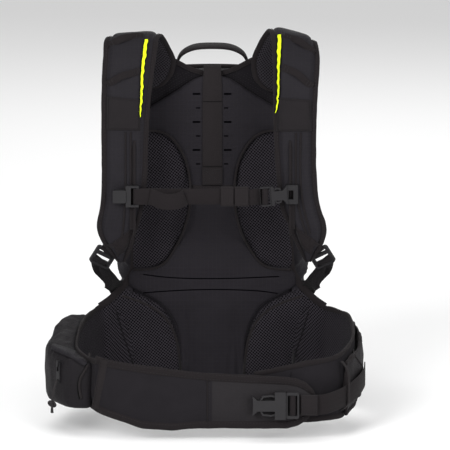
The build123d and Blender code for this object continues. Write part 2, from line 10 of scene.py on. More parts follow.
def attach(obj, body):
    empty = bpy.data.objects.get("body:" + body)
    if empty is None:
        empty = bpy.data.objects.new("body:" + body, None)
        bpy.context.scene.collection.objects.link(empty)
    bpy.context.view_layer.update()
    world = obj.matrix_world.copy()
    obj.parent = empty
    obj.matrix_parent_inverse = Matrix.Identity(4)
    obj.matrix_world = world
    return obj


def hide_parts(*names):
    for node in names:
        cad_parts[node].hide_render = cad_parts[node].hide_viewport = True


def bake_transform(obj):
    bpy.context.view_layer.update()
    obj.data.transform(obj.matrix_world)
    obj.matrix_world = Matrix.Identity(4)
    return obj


# Looks of the avalanche airbag backpack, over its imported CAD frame. Shapes are written in
# millimetres and turned into metres when a mesh is made.

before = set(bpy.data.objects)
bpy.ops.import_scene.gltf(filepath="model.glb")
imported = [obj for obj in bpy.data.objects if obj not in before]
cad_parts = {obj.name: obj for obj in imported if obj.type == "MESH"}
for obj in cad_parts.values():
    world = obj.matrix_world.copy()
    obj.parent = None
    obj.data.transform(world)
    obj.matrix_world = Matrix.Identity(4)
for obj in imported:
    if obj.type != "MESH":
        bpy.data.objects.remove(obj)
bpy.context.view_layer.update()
MM = 0.001
SIDES = {-1: "right", 1: "left"}

# ------------------------------------------------------------------ materials


class Nodes:
    """A short way to write node trees."""

    def __init__(self, name):
        self.mat = bpy.data.materials.new(name)
        self.mat.use_nodes = True
        self.tree = self.mat.node_tree
        self.tree.nodes.clear()
        self.out = self.tree.nodes.new("ShaderNodeOutputMaterial")
        self.bsdf = self.tree.nodes.new("ShaderNodeBsdfPrincipled")
        self.link(self.bsdf.outputs[0], self.out.inputs[0])

    def link(self, a, b):
        self.tree.links.new(a, b)

    def put(self, socket, value):
        if hasattr(value, "links"):
            self.link(value, socket)
        else:
            socket.default_value = value

    def math(self, op, a, b=0.0, c=None):
        n = self.tree.nodes.new("ShaderNodeMath")
        n.operation = op
        self.put(n.inputs[0], a)
        self.put(n.inputs[1], b)
        if c is not None:
            self.put(n.inputs[2], c)
        return n.outputs[0]

    def uv(self, turn=0.0):
        """The weave's two coordinates in millimetres, turned by an angle in degrees."""
        tex = self.tree.nodes.new("ShaderNodeUVMap")
        tex.uv_map = "UVMap"
        mapping = self.tree.nodes.new("ShaderNodeMapping")
        mapping.inputs["Rotation"].default_value = (0, 0, math.radians(turn))
        mapping.inputs["Scale"].default_value = (1000, 1000, 1000)
        self.link(tex.outputs[0], mapping.inputs[0])
        split = self.tree.nodes.new("ShaderNodeSeparateXYZ")
        self.link(mapping.outputs[0], split.inputs[0])
        return split.outputs[0], split.outputs[1]

    def noise(self, scale, detail=4.0):
        coords = self.tree.nodes.new("ShaderNodeTexCoord")
        n = self.tree.nodes.new("ShaderNodeTexNoise")
        n.inputs["Scale"].default_value = scale
        n.inputs["Detail"].default_value = detail
        n.inputs["Roughness"].default_value = 0.6
        self.link(coords.outputs["Object"], n.inputs["Vector"])
        return n.outputs[0]

    def wave(self, coord, period):
        """A smooth 0 to 1 wave along a coordinate in millimetres."""
        turned = self.math("MULTIPLY_ADD", coord, 2 * math.pi / period, 0.0)
        return self.math("MULTIPLY_ADD", self.math("SINE", turned), 0.5, 0.5)

    def line(self, coord, period, width):
        """1 on a thin line each period, else 0."""
        part = self.math("FRACT", self.math("DIVIDE", coord, period))
        return self.math("LESS_THAN", part, width / period)

    def mix(self, share, low, high):
        n = self.tree.nodes.new("ShaderNodeMix")
        n.data_type = "RGBA"
        self.put(n.inputs[0], share)
        self.put(n.inputs[6], low)
        self.put(n.inputs[7], high)
        return n.outputs[2]

    def ramp(self, value, low, high):
        n = self.tree.nodes.new("ShaderNodeMapRange")
        self.put(n.inputs[0], value)
        n.inputs[1].default_value = low
        n.inputs[2].default_value = high
        return n.outputs[0]

    def bump(self, height, distance_mm):
        n = self.tree.nodes.new("ShaderNodeBump")
        n.inputs["Strength"].default_value = 1.0
        n.inputs["Distance"].default_value = distance_mm * MM
        self.put(n.inputs["Height"], height)
        self.link(n.outputs[0], self.bsdf.inputs["Normal"])

    def surface(self, color, rough, sheen=0.0, metallic=0.0, specular=0.08):
        b = self.bsdf.inputs
        self.put(b["Base Color"], color)
        self.put(b["Roughness"], rough)
        b["Metallic"].default_value = metallic
        b["Specular IOR Level"].default_value = specular
        b["Sheen Weight"].default_value = sheen
        b["Sheen Roughness"].default_value = 0.45
        return self.mat


def rgb(r, g, b):
    """An opaque colour."""
    return (r, g, b, 1.0)


def shade(color, k):
    """The colour, lighter or darker."""
    return rgb(*[c * k for c in color[:3]])


def blend_of(n, a, share_a, b, share_b):
    """A weighted sum of two patterns."""
    return n.math("ADD", n.math("MULTIPLY", a, share_a), n.math("MULTIPLY", b, share_b))


def ripstop(name, color, grid=5.2, sheen=0.015, heavy=0.28):
    """Plain-woven nylon with a faint square grid of heavier threads."""
    n = Nodes(name)
    u, v = n.uv()
    weave = n.math("MULTIPLY", n.wave(u, 0.62), n.wave(v, 0.62))
    threads = n.math("MAXIMUM", n.line(u, grid, 0.55), n.line(v, grid, 0.55))
    blotch = n.noise(38.0, 5.0)
    base = n.mix(blend_of(n, threads, heavy, blotch, 0.55), shade(color, 0.72), shade(color, 1.5))
    height = blend_of(n, threads, 0.6, weave, 0.4)
    n.bump(n.math("ADD", height, n.math("MULTIPLY", n.noise(160.0, 3.0), 0.8)), 0.22)
    rough = n.math("MULTIPLY_ADD", blotch, 0.25, 0.50)
    return n.surface(base, rough, sheen)


def webbing(name, color, rib=1.5):
    """Ribbed webbing: herringbone across its width, ribs along it."""
    n = Nodes(name)
    u, v = n.uv()
    slant = n.math("ADD", u, n.math("MULTIPLY", n.math("PINGPONG", v, 3.0), 0.7))
    ribs = n.wave(v, rib)
    twill = n.wave(slant, 1.25)
    twills = n.math("MULTIPLY", ribs, twill)
    fuzz = n.noise(900.0, 2.0)
    tone = n.math("MULTIPLY_ADD", fuzz, 0.5, n.math("MULTIPLY", twills, 0.5))
    base = n.mix(tone, shade(color, 0.6), shade(color, 1.6))
    n.bump(n.math("ADD", twills, n.math("MULTIPLY", fuzz, 0.25)), 0.28)
    return n.surface(base, 0.82, 0.03)


def softshell(name, color, sheen=0.02, specular=0.08):
    """Matt knitted stretch fabric."""
    n = Nodes(name)
    u, v = n.uv(25)
    knit = n.math("MULTIPLY", n.wave(u, 1.1), n.wave(v, 1.6))
    blotch = n.noise(60.0, 5.0)
    base = n.mix(blend_of(n, knit, 0.4, blotch, 0.6), shade(color, 0.7), shade(color, 1.35))
    n.bump(n.math("ADD", knit, n.math("MULTIPLY", n.noise(200.0, 3.0), 0.6)), 0.2)
    return n.surface(base, 0.9, sheen, 0.0, specular)


def spacer_mesh(name, color, hole_shade_color, pitch=2.9, radius=0.33, turn=38.0):
    """Open spacer mesh: a slanting lattice of round holes over foam, the holes painted near-black as the
    shade inside them.
    """
    n = Nodes(name)
    u, v = n.uv(turn)
    a = n.math("SUBTRACT", n.math("FRACT", n.math("DIVIDE", u, pitch)), 0.5)
    b = n.math("SUBTRACT", n.math("FRACT", n.math("DIVIDE", v, pitch)), 0.5)
    r = n.math("SQRT", n.math("ADD", n.math("MULTIPLY", a, a), n.math("MULTIPLY", b, b)))
    solid = n.ramp(r, radius - 0.03, radius + 0.05)
    blotch = n.noise(45.0, 4.0)
    yarn = n.wave(n.math("ADD", u, v), 0.7)
    cloth = n.mix(blend_of(n, blotch, 0.6, yarn, 0.4), shade(color, 0.7), shade(color, 1.4))
    n.bump(n.math("ADD", solid, n.math("MULTIPLY", yarn, 0.15)), 0.9)
    return n.surface(n.mix(solid, hole_shade_color, cloth), n.math("MULTIPLY_ADD", solid, -0.15, 0.95), 0.02)


def plastic(name, color, rough=0.38):
    """Moulded acetal with a fine spark-eroded grain and light wear."""
    n = Nodes(name)
    grain = n.noise(2600.0, 2.0)
    wear = n.noise(70.0, 5.0)
    base = n.mix(wear, shade(color, 0.8), shade(color, 1.3))
    n.bump(n.math("ADD", grain, n.math("MULTIPLY", wear, 0.4)), 0.05)
    return n.surface(base, n.math("MULTIPLY_ADD", wear, 0.25, rough - 0.05), 0.0, 0.0, 0.2)


def metal(name, color, rough=0.35, metallic=1.0):
    """Brushed or painted metal."""
    n = Nodes(name)
    u = n.noise(320.0, 3.0)
    wear = n.noise(50.0, 5.0)
    n.bump(u, 0.04)
    base = n.mix(wear, shade(color, 0.8), shade(color, 1.15))
    return n.surface(base, n.math("MULTIPLY_ADD", wear, 0.2, rough), 0.0, metallic, 0.5)


BLACK = rgb(0.0122, 0.0110, 0.0134)
# Near-black hole colours: painted shade inside the mesh's holes.
PANEL_HOLE_SHADE, STRAP_HOLE_SHADE = rgb(0.0008, 0.0005, 0.0010), rgb(0.0008, 0.0006, 0.0010)
M = {
    "ripstop": ripstop("ripstop_black", BLACK),
    "ripstop_pad": ripstop("ripstop_panel", rgb(0.0118, 0.0104, 0.0130)),
    "ripstop_light": ripstop("ripstop_belt", rgb(0.0150, 0.0134, 0.0148), 5.2, 0.015, 0.10),
    "pouch": ripstop("ripstop_pocket", rgb(0.0090, 0.0078, 0.0092), 5.2, 0.01, 0.18),
    # The yoke cloth also colours the painted shade lines in the lumbar creases.
    "yoke": softshell("yoke_cloth", rgb(0.0080, 0.0070, 0.0086)),
    "softshell": softshell("belt_softshell", rgb(0.0112, 0.0100, 0.0118)),
    "patch": softshell("patch_cloth", rgb(0.0130, 0.0113, 0.0124)),
    "webbing": webbing("webbing_black", rgb(0.0114, 0.0094, 0.0102)),
    # A darker copy of the webbing: painted shade for the adjuster webbing that lies under the strap ends.
    "webbing_shaded": webbing("webbing_painted_shade", rgb(0.0080, 0.0070, 0.0078)),
    "strap_band": webbing("centre_band", rgb(0.0142, 0.0120, 0.0128), 1.1),
    "binding": webbing("binding_tape", rgb(0.0120, 0.0099, 0.0107), 0.9),
    "mesh": spacer_mesh("spacer_mesh", rgb(0.0275, 0.0242, 0.0298), PANEL_HOLE_SHADE, 2.9, 0.37),
    "strap_mesh": spacer_mesh("strap_mesh", rgb(0.0250, 0.0222, 0.0270), STRAP_HOLE_SHADE, 2.8, 0.36, 40.0),
    "thread": softshell("thread", rgb(0.026, 0.024, 0.026)),
    "thread_dark": softshell("thread_dark", rgb(0.0055, 0.0050, 0.0056)),
    "print": softshell("dark_print", rgb(0.0006, 0.0006, 0.0010), 0.0, 0.01),
    "hivis": softshell("hi_vis_lining", rgb(0.66, 0.80, 0.015), 0.1),
    "plastic": plastic("acetal_black", rgb(0.0085, 0.0078, 0.0090), 0.42),
    "plastic_belt": plastic("acetal_buckle", rgb(0.0130, 0.0122, 0.0134), 0.42),
    "whistle": plastic("acetal_grey", rgb(0.0110, 0.0104, 0.0116), 0.50),
    "coil": plastic("zip_coil", rgb(0.008, 0.008, 0.0085), 0.4),
    "cord": webbing("cord", rgb(0.024, 0.022, 0.023), 0.8),
    "airbag": ripstop("airbag_cloth", rgb(0.62, 0.09, 0.02), 4.0),
    "sheet": plastic("back_sheet", rgb(0.04, 0.04, 0.04), 0.6),
    "alloy": metal("alloy", rgb(0.55, 0.56, 0.58), 0.35),
    "cartridge": metal("cartridge_paint", rgb(0.32, 0.33, 0.36), 0.4, 0.2),
    "red": plastic("red_plastic", rgb(0.5, 0.03, 0.02), 0.45),
    # The rubber also colours the painted shadow line beside the hip pocket's front piping.
    "rubber": softshell("rubber", rgb(0.004, 0.004, 0.004), 0.0),
}

# ------------------------------------------------------------------ mesh helpers


def make(name, verts, faces, uvs=None, mats=("ripstop",), which=None, smooth=True):
    """A mesh object from millimetre points. uvs is a pair in metres per vertex, or None for a box map."""
    me = bpy.data.meshes.new(name)
    me.from_pydata([(x * MM, y * MM, z * MM) for x, y, z in verts], [], [tuple(f) for f in faces])
    for m in mats:
        me.materials.append(M[m])
    if which is not None:
        me.polygons.foreach_set("material_index", np.array(which, dtype=np.int32))
    me.polygons.foreach_set("use_smooth", [smooth] * len(me.polygons))
    obj = bpy.data.objects.new(name, me)
    bpy.context.scene.collection.objects.link(obj)
    if uvs is None:
        box_map(obj)
    else:
        layer = me.uv_layers.new(name="UVMap")
        loop_verts = np.empty(len(me.loops), dtype=np.int32)
        me.loops.foreach_get("vertex_index", loop_verts)
        layer.data.foreach_set("uv", np.asarray(uvs, dtype=np.float32)[loop_verts].ravel())
    me.update()
    return obj


def box_map(obj):
    """Maps each face flat along its main axis, in metres."""
    me = obj.data
    layer = me.uv_layers.get("UVMap") or me.uv_layers.new(name="UVMap")
    for poly in me.polygons:
        n = poly.normal
        k = max(range(3), key=lambda i: abs(n[i]))
        pick = ((1, 2), (0, 2), (0, 1))[k]
        for li in poly.loop_indices:
            co = me.vertices[me.loops[li].vertex_index].co
            layer.data[li].uv = (co[pick[0]], co[pick[1]])


def mirror(points):
    """Half a path and its mirror image. The last point lies in the middle."""
    return points + flip(-1, points[-2::-1])


def flip(side, points):
    """The points on the given side, from those on the left."""
    return [(side * p[0],) + tuple(p[1:]) for p in points]


def smooth_path(points, count, closed=False):
    """Points spaced evenly along a Catmull-Rom curve. The first three columns set the spacing."""
    p = np.asarray(points, float)
    if closed:
        p = np.vstack([p[-1:], p, p[:2]])
    else:
        p = np.vstack([2 * p[0] - p[1], p, 2 * p[-1] - p[-2]])
    dense = []
    for i in range(1, len(p) - 2):
        a, b, c, d = p[i - 1], p[i], p[i + 1], p[i + 2]
        for t in np.linspace(0, 1, 24, endpoint=False):
            square, cube = 2 * a - 5 * b + 4 * c - d, 3 * b - a - 3 * c + d
            dense.append(0.5 * (2 * b + (c - a) * t + square * t**2 + cube * t**3))
    dense.append(p[-2])
    dense = np.array(dense)
    k = min(3, dense.shape[1])
    gaps = np.linalg.norm(np.diff(dense[:, :k], axis=0), axis=1)
    along = np.concatenate([[0], np.cumsum(gaps)])
    want = np.linspace(0, along[-1], count, endpoint=not closed)
    return np.stack([np.interp(want, along, dense[:, j]) for j in range(dense.shape[1])], axis=1)


def even_path(points, step, closed=False):
    """A smooth path with points about step apart."""
    rough = smooth_path(points, 60, closed)
    k = min(3, rough.shape[1])
    length = np.linalg.norm(np.diff(rough[:, :k], axis=0), axis=1).sum()
    return smooth_path(points, max(int(length / step), 3) + 1, closed)


def tangents(path, closed=False):
    """Unit directions along a path."""
    if closed:
        t = np.roll(path, -1, axis=0) - np.roll(path, 1, axis=0)
    else:
        t = np.gradient(path, axis=0)
    return t / np.maximum(np.linalg.norm(t, axis=1, keepdims=True), 1e-9)


def unit(v):
    v = np.asarray(v, float)
    return v / np.maximum(np.linalg.norm(v, axis=-1, keepdims=True), 1e-9)


def sweep(name, centres, across, normal, section, mats, which, closed_path=False):
    """A closed section, as (stations, points, 2) across and normal offsets, carried along a path."""
    n, k = section.shape[:2]
    pts = centres[:, None] + across[:, None] * section[:, :, :1] + normal[:, None] * section[:, :, 1:]
    verts = pts.reshape(-1, 3)
    gaps = np.linalg.norm(np.diff(centres, axis=0), axis=1)
    along = np.concatenate([[0], np.cumsum(gaps)])
    uvs = [(along[i] * MM, section[i, j, 0] * MM) for i in range(n) for j in range(k)]
    faces, ids = [], []
    rows = n if closed_path else n - 1
    for i in range(rows):
        for j in range(k):
            a, b = i * k + j, i * k + (j + 1) % k
            c, d = ((i + 1) % n) * k + (j + 1) % k, ((i + 1) % n) * k + j
            faces.append((a, b, c, d))
            ids.append(which[j])
    if not closed_path:
        faces.append(tuple(range(k))[::-1])
        faces.append(tuple((n - 1) * k + j for j in range(k)))
        ids += [which[0], which[0]]
    return make(name, verts, faces, uvs, mats, ids)


def recalc(obj):
    """Points every face outwards."""
    bm = bmesh.new()
    bm.from_mesh(obj.data)
    bmesh.ops.recalc_face_normals(bm, faces=bm.faces)
    bm.to_mesh(obj.data)
    bm.free()
    return obj


def ribbon(name, path, across, width, thick=1.4, mat="webbing", step=3.0):
    """Flat webbing with soft edges along a path of points. across is one vector or one per point."""
    path = np.asarray(path, float)
    a = np.asarray(across, float)
    if a.ndim == 1:
        a = np.tile(a, (len(path), 1))
    w = np.broadcast_to(np.asarray(width, float).reshape(-1, 1), (len(path), 1))
    full = even_path(np.hstack([path, a, w]), step)
    centres, a, w = full[:, :3], full[:, 3:6], full[:, 6] / 2
    t = tangents(centres)
    a = unit(a - t * (a * t).sum(1, keepdims=True))
    normal = np.cross(t, a)
    h = thick / 2
    e = min(0.8, thick / 2)
    edge = [(-1, 0, -0.45 * h), (-1, 0, 0.45 * h), (-1, -e, h), (1, -e, h)]
    edge += [(1, 0, 0.45 * h), (1, 0, -0.45 * h), (1, -e, -h), (-1, -e, -h)]
    section = np.zeros((len(centres), 8, 2))
    for j, (side, d, up) in enumerate(edge):
        section[:, j, 0] = side * (w + d)
        section[:, j, 1] = up
    return recalc(sweep(name, centres, a, normal, section, (mat,), [0] * 8))


def tube(name, path, r, mat="binding", step=2.5, sides=8, closed=False, flat=1.0, up=(0, 1, 0)):
    """A round or flattened cord along a path."""
    centres = even_path(path, step, closed)[:, :3]
    t = tangents(centres, closed)
    a = unit(np.cross(t, np.tile(np.asarray(up, float), (len(t), 1))))
    normal = np.cross(t, a)
    turn = np.linspace(0, 2 * math.pi, sides, endpoint=False)
    one = np.stack([np.cos(turn) * r, np.sin(turn) * r * flat], axis=1)
    section = np.tile(one, (len(centres), 1, 1))
    return recalc(sweep(name, centres, a, normal, section, (mat,), [0] * sides, closed_path=closed))


def bvh_of(*objs):
    """A search tree over the objects' faces, in metres."""
    verts, polys = [], []
    for o in objs:
        base = len(verts)
        verts += [o.matrix_world @ v.co for v in o.data.vertices]
        polys += [tuple(base + i for i in p.vertices) for p in o.data.polygons]
    return BVHTree.FromPolygons(verts, polys)


def drop(points, bvh, way=(0, 1, 0), lift=0.0, back=400.0):
    """Moves points in mm onto a surface, looking along way, then lifts them off it."""
    d = Vector(way).normalized()
    found = []
    for p in points:
        start = Vector(p) * MM - d * (back * MM)
        hit = bvh.ray_cast(start, d)[0]
        if hit is None:
            found.append(tuple(p))
            continue
        hit = hit - d * (lift * MM)
        found.append(tuple(c / MM for c in hit))
    return found


ELEVATION = math.radians(10.0)
GAZE = np.array((0.0, math.cos(ELEVATION), -math.sin(ELEVATION)))
RISE = np.array((0.0, math.sin(ELEVATION), math.cos(ELEVATION)))


def seen(points, tree, lift=0.5):
    """Lays (x, v) points, as the front camera sees them, onto a surface. v runs up the view."""
    found, depth = [], 400.0
    for x, v in points:
        start = np.array((x, 0, 0)) + RISE * v - GAZE * 500.0
        hit, _, _, far = tree.ray_cast(Vector(start) * MM, Vector(GAZE))
        if hit is not None:
            depth = far / MM
        found.append(tuple(start + GAZE * (depth - lift)))
    return found


def between(points, count):
    """Straight runs through points, evenly spaced."""
    p = np.asarray(points, float)
    gaps = np.concatenate([[0], np.cumsum(np.linalg.norm(np.diff(p, axis=0), axis=1))])
    want = np.linspace(0, gaps[-1], count)
    return [tuple(np.interp(w, gaps, p[:, j]) for j in range(p.shape[1])) for w in want]


class Stitches:
    """Sewn stitches gathered by body and thread, made into one mesh each at the end."""

    def __init__(self):
        self.held = {}

    def run(self, path, body, length=2.6, gap=1.5, r=0.32, mat="thread", smooth=True):
        p = even_path(path, 0.6)[:, :3] if smooth else np.asarray(path, float)
        seg = np.linalg.norm(np.diff(p, axis=0), axis=1)
        along = np.concatenate([[0], np.cumsum(seg)])
        s = 0.5
        verts, faces = self.held.setdefault((body, mat), ([], []))
        while s + length < along[-1]:
            a = np.array([np.interp(s, along, p[:, j]) for j in range(3)])
            b = np.array([np.interp(s + length, along, p[:, j]) for j in range(3)])
            d = unit(b - a)
            u = unit(np.cross(d, (0.31, 0.9, 0.2)))
            w = np.cross(d, u)
            base = len(verts)
            verts.append(a)
            for q in (a + (b - a) * 0.25, a + (b - a) * 0.75):
                for k in range(4):
                    turn = math.pi / 2 * k
                    verts.append(q + (u * math.cos(turn) + w * math.sin(turn)) * r)
            verts.append(b)
            for k in range(4):
                m = (k + 1) % 4
                faces.append((base, base + 1 + k, base + 1 + m))
                faces.append((base + 1 + k, base + 5 + k, base + 5 + m, base + 1 + m))
                faces.append((base + 9, base + 5 + m, base + 5 + k))
            s += length + gap

    def finish(self):
        for (body, mat), (verts, faces) in self.held.items():
            obj = make(f"stitching_{body}_{mat}", verts, faces, None, (mat,))
            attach(obj, body)


SEW = Stitches()


def ride(obj, body, *nodes):
    """Rides a body and stands for CAD nodes."""
    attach(obj, body)
    if nodes:
        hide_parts(*nodes)
    return obj


def remesh(obj, size):
    """A closed voxel mesh of the object, in mm voxels."""
    mod = obj.modifiers.new("remesh", "REMESH")
    mod.mode = "VOXEL"
    mod.voxel_size = size * MM
    mod.use_smooth_shade = True
    bake(obj)


def bake(obj):
    """Turns modifiers into mesh."""
    dg = bpy.context.evaluated_depsgraph_get()
    dg.update()
    me = bpy.data.meshes.new_from_object(obj.evaluated_get(dg), depsgraph=dg)
    obj.modifiers.clear()
    old = obj.data
    mats = list(old.materials)
    obj.data = me
    if not len(me.materials):
        for m in mats:
            me.materials.append(m)


def inflate(obj, pressure=4.0, cap=5.0, voxel=5.0, pin=None, frames=20, subdivide=1):
    """Cloth simulation under air pressure, with every point's travel capped, then one subdivision.
    pin is a test on a point in mm: points it holds for stay put."""
    remesh(obj, voxel)
    me = obj.data
    rest = np.array([v.co for v in me.vertices])
    mod = obj.modifiers.new("cloth", "CLOTH")
    c = mod.settings
    c.quality = 4
    c.mass = 0.25
    c.tension_stiffness = 18
    c.compression_stiffness = 12
    c.shear_stiffness = 8
    c.bending_stiffness = 0.6
    c.use_pressure = True
    c.uniform_pressure_force = pressure
    c.effector_weights.gravity = 0
    mod.collision_settings.use_collision = False
    if pin:
        group = obj.vertex_groups.new(name="pin")
        held = [i for i, p in enumerate(rest) if pin(*(p / MM))]
        if held:
            group.add(held, 1.0, "REPLACE")
            c.vertex_group_mass = "pin"
    mod.point_cache.frame_start = 1
    mod.point_cache.frame_end = frames
    scene = bpy.context.scene
    for f in range(1, frames + 1):
        scene.frame_set(f)
    dg = bpy.context.evaluated_depsgraph_get()
    got = obj.evaluated_get(dg).to_mesh()
    moved = np.array([v.co for v in got.vertices])
    obj.evaluated_get(dg).to_mesh_clear()
    obj.modifiers.clear()
    scene.frame_set(1)
    step = moved - rest
    size = np.linalg.norm(step, axis=1, keepdims=True)
    step *= np.minimum(1.0, cap * MM / np.maximum(size, 1e-9))
    me.vertices.foreach_set("co", (rest + step).ravel())
    me.update()
    relax(obj, 3)
    if subdivide:
        mod = obj.modifiers.new("sub", "SUBSURF")
        mod.levels = mod.render_levels = subdivide
        bake(obj)
    for p in obj.data.polygons:
        p.use_smooth = True
    box_map(obj)
    return obj


def relax(obj, turns):
    """Evens a mesh out."""
    mod = obj.modifiers.new("smooth", "SMOOTH")
    mod.factor = 0.5
    mod.iterations = turns
    bake(obj)


def outline_block(name, outline, y0, y1, mat, step=4.0):
    """A closed slab from an (x, z) outline in mm, ready to be inflated."""
    round_it = sum(math.dist(a, b) for a, b in zip(outline, outline[1:] + outline[:1]))
    pts = smooth_path(outline, max(int(round_it / step), 12), closed=True)
    n = len(pts)
    verts = [(x, y0, z) for x, z in pts] + [(x, y1, z) for x, z in pts]
    faces = [tuple(range(n)), tuple(range(2 * n - 1, n - 1, -1))]
    faces += [(i, n + i, n + (i + 1) % n, (i + 1) % n) for i in range(n)]
    return recalc(make(name, verts, faces, None, (mat,)))


def move_points(obj, shift):
    """Moves each point by shift(v), which gives an offset in metres or None."""
    me = obj.data
    new = []
    for v in me.vertices:
        d = shift(v)
        new.append(v.co.copy() if d is None else v.co + d)
    me.vertices.foreach_set("co", np.array(new).ravel())
    me.update()
    return obj


def wrinkle(obj, amount, scale, seed=0.0, test=None, stretch=(1, 1, 1)):
    """Pushes points along their normals by smooth noise. test weighs a point in mm from 0 to 1."""
    offset = Vector((seed, seed * 1.7, -seed))

    def shift(v):
        p = v.co / MM
        w = 1.0 if test is None else test(p)
        if w <= 0:
            return None
        q = Vector((p.x * stretch[0], p.y * stretch[1], p.z * stretch[2])) / scale + offset
        h = noise.noise(q) + 0.5 * noise.noise(q * 2.1) - 0.25 * abs(noise.noise(q * 3.7))
        return v.normal * (h * amount * w * MM)

    return move_points(obj, shift)


def ramp01(v, a, b):
    """0 up to a, 1 from b, with a smooth rise between."""
    t = min(max((v - a) / (b - a), 0.0), 1.0)
    return t * t * (3 - 2 * t)


# ------------------------------------------------------------------ bag

BAG_H, BAG_BACK = 423.0, 3.0
DEPTH_FOOT, DEPTH_TOP = 128.0, 96.0
HALF_FOOT, HALF_TOP = 110.0, 122.0
LID_Z, BOOT_Z = 374.0, 24.0
CORNER_R = 27.0


def bag_depth(z):
    """How deep the bag is at a height."""
    return DEPTH_FOOT + (DEPTH_TOP - DEPTH_FOOT) * z / BAG_H


def bag_half(z):
    """Half the bag's width at a height."""
    return HALF_FOOT + (HALF_TOP - HALF_FOOT) * z / BAG_H


def ring_points(half, y0, y1, z, radius, steps=6, inner=10.0):
    """A rounded rectangle at a height. Back corners are tighter than front ones."""
    points = []
    corners = [(half, y1, 0, radius), (-half, y1, 90, radius)]
    corners += [(-half, y0, 180, inner), (half, y0, 270, inner)]
    for cx, cy, start, r in corners:
        ox = cx - math.copysign(r, cx)
        oy = cy - r if cy == y1 else cy + r
        for k in range(steps + 1):
            a = math.radians(start + 90 * k / steps)
            points.append((ox + r * math.cos(a), oy + r * math.sin(a), z))
    return points


def loft(name, rings, mat):
    """A closed skin through rings of equally many points."""
    k = len(rings[0])
    verts = [p for r in rings for p in r]
    faces = [tuple(range(k))[::-1], tuple((len(rings) - 1) * k + j for j in range(k))]
    for i in range(len(rings) - 1):
        for j in range(k):
            faces.append((i * k + j, i * k + (j + 1) % k, (i + 1) * k + (j + 1) % k, (i + 1) * k + j))
    return recalc(make(name, verts, faces, None, (mat,)))


def make_bag():
    """The bag's skin: lofted, blown out between its seams, and creased."""
    rings = []
    for z, tuck in ((0.6, 7), (4, 3), (12, 1), (120, 1), (250, 1), (374, 1), (400, 3), (414, 8), (421, 18)):
        y1 = BAG_BACK + bag_depth(z) - tuck - 2
        y0 = BAG_BACK + 1.5 + tuck * 0.2
        rings.append(ring_points(bag_half(z) - tuck - 1, y0, y1, z, CORNER_R - tuck * 0.3))
    bag = loft("bag_skin", rings, "ripstop")

    def held(x, y, z):
        seam = BAG_BACK + bag_depth(z) - y < 14 and 58 < abs(x) < 84
        return y < 8 or z < 6 or abs(z - LID_Z) < 4 or abs(z - BOOT_Z) < 4 or seam

    inflate(bag, 5.0, 6.0, 8.0, held, 18)
    wrinkle(bag, 2.6, 42.0, 3.0, lambda p: ramp01(p.y, 10, 30) * ramp01(p.z, 12, 40), (1, 1, 0.6))
    crease_sides(bag)
    walls = ("back_wall", "base", "top", "side_left", "side_right", "front_panel")
    ride(bag, "pack", *[f"bag_{wall}" for wall in walls])
    tree = bvh_of(bag)
    for name, z in (("lid_seam", LID_Z), ("boot_seam", BOOT_Z)):
        ring = ring_points(bag_half(z) - 1, BAG_BACK + 12, BAG_BACK + bag_depth(z) - 3, z, CORNER_R, 8)
        path = sorted([p for p in ring if p[1] > 16], key=lambda p: math.atan2(p[1] - 16, p[0]))
        onto = [drop([p], tree, (-p[0], -(p[1] - 50), 0), 0.6, 120)[0] for p in path]
        ride(tube(name, onto, 1.9, "binding", 3.0), "pack")
    for side in SIDES:
        path = [(side * 81.5, 200, z) for z in np.linspace(26, 392, 24)]
        onto = drop(path, tree, (0, -1, 0), 0.4, 300)
        ride(tube(f"front_seam_{SIDES[side]}", onto, 1.6, "binding", 3.0), "pack")
    roll = mirror([(-84, 9, 418), (-66, 8.5, 424.5), (-44, 8, 429), (0, 7.5, 430.5)])
    ride(tube("bag_top_piping", roll, 2.6, "binding", 3.0), "pack")


def crease_sides(bag):
    """Folds that fan out from where the adjusters pull on the bag's sides."""

    def shift(v):
        p = v.co / MM
        up = ramp01(p.z, 110, 150) * (1 - ramp01(p.z, 250, 320))
        w = ramp01(abs(p.x), 92, 104) * up * ramp01(p.y, 2, 9)
        if w <= 0:
            return None
        a = math.atan2(p.z - 140, p.y + 30)
        r = math.hypot(p.z - 140, p.y + 30)
        h = 2.4 * math.sin(a * 15 + 0.02 * r) + 1.2 * math.sin(a * 31 + 1.3)
        return v.normal * (h * w * MM)

    move_points(bag, shift)


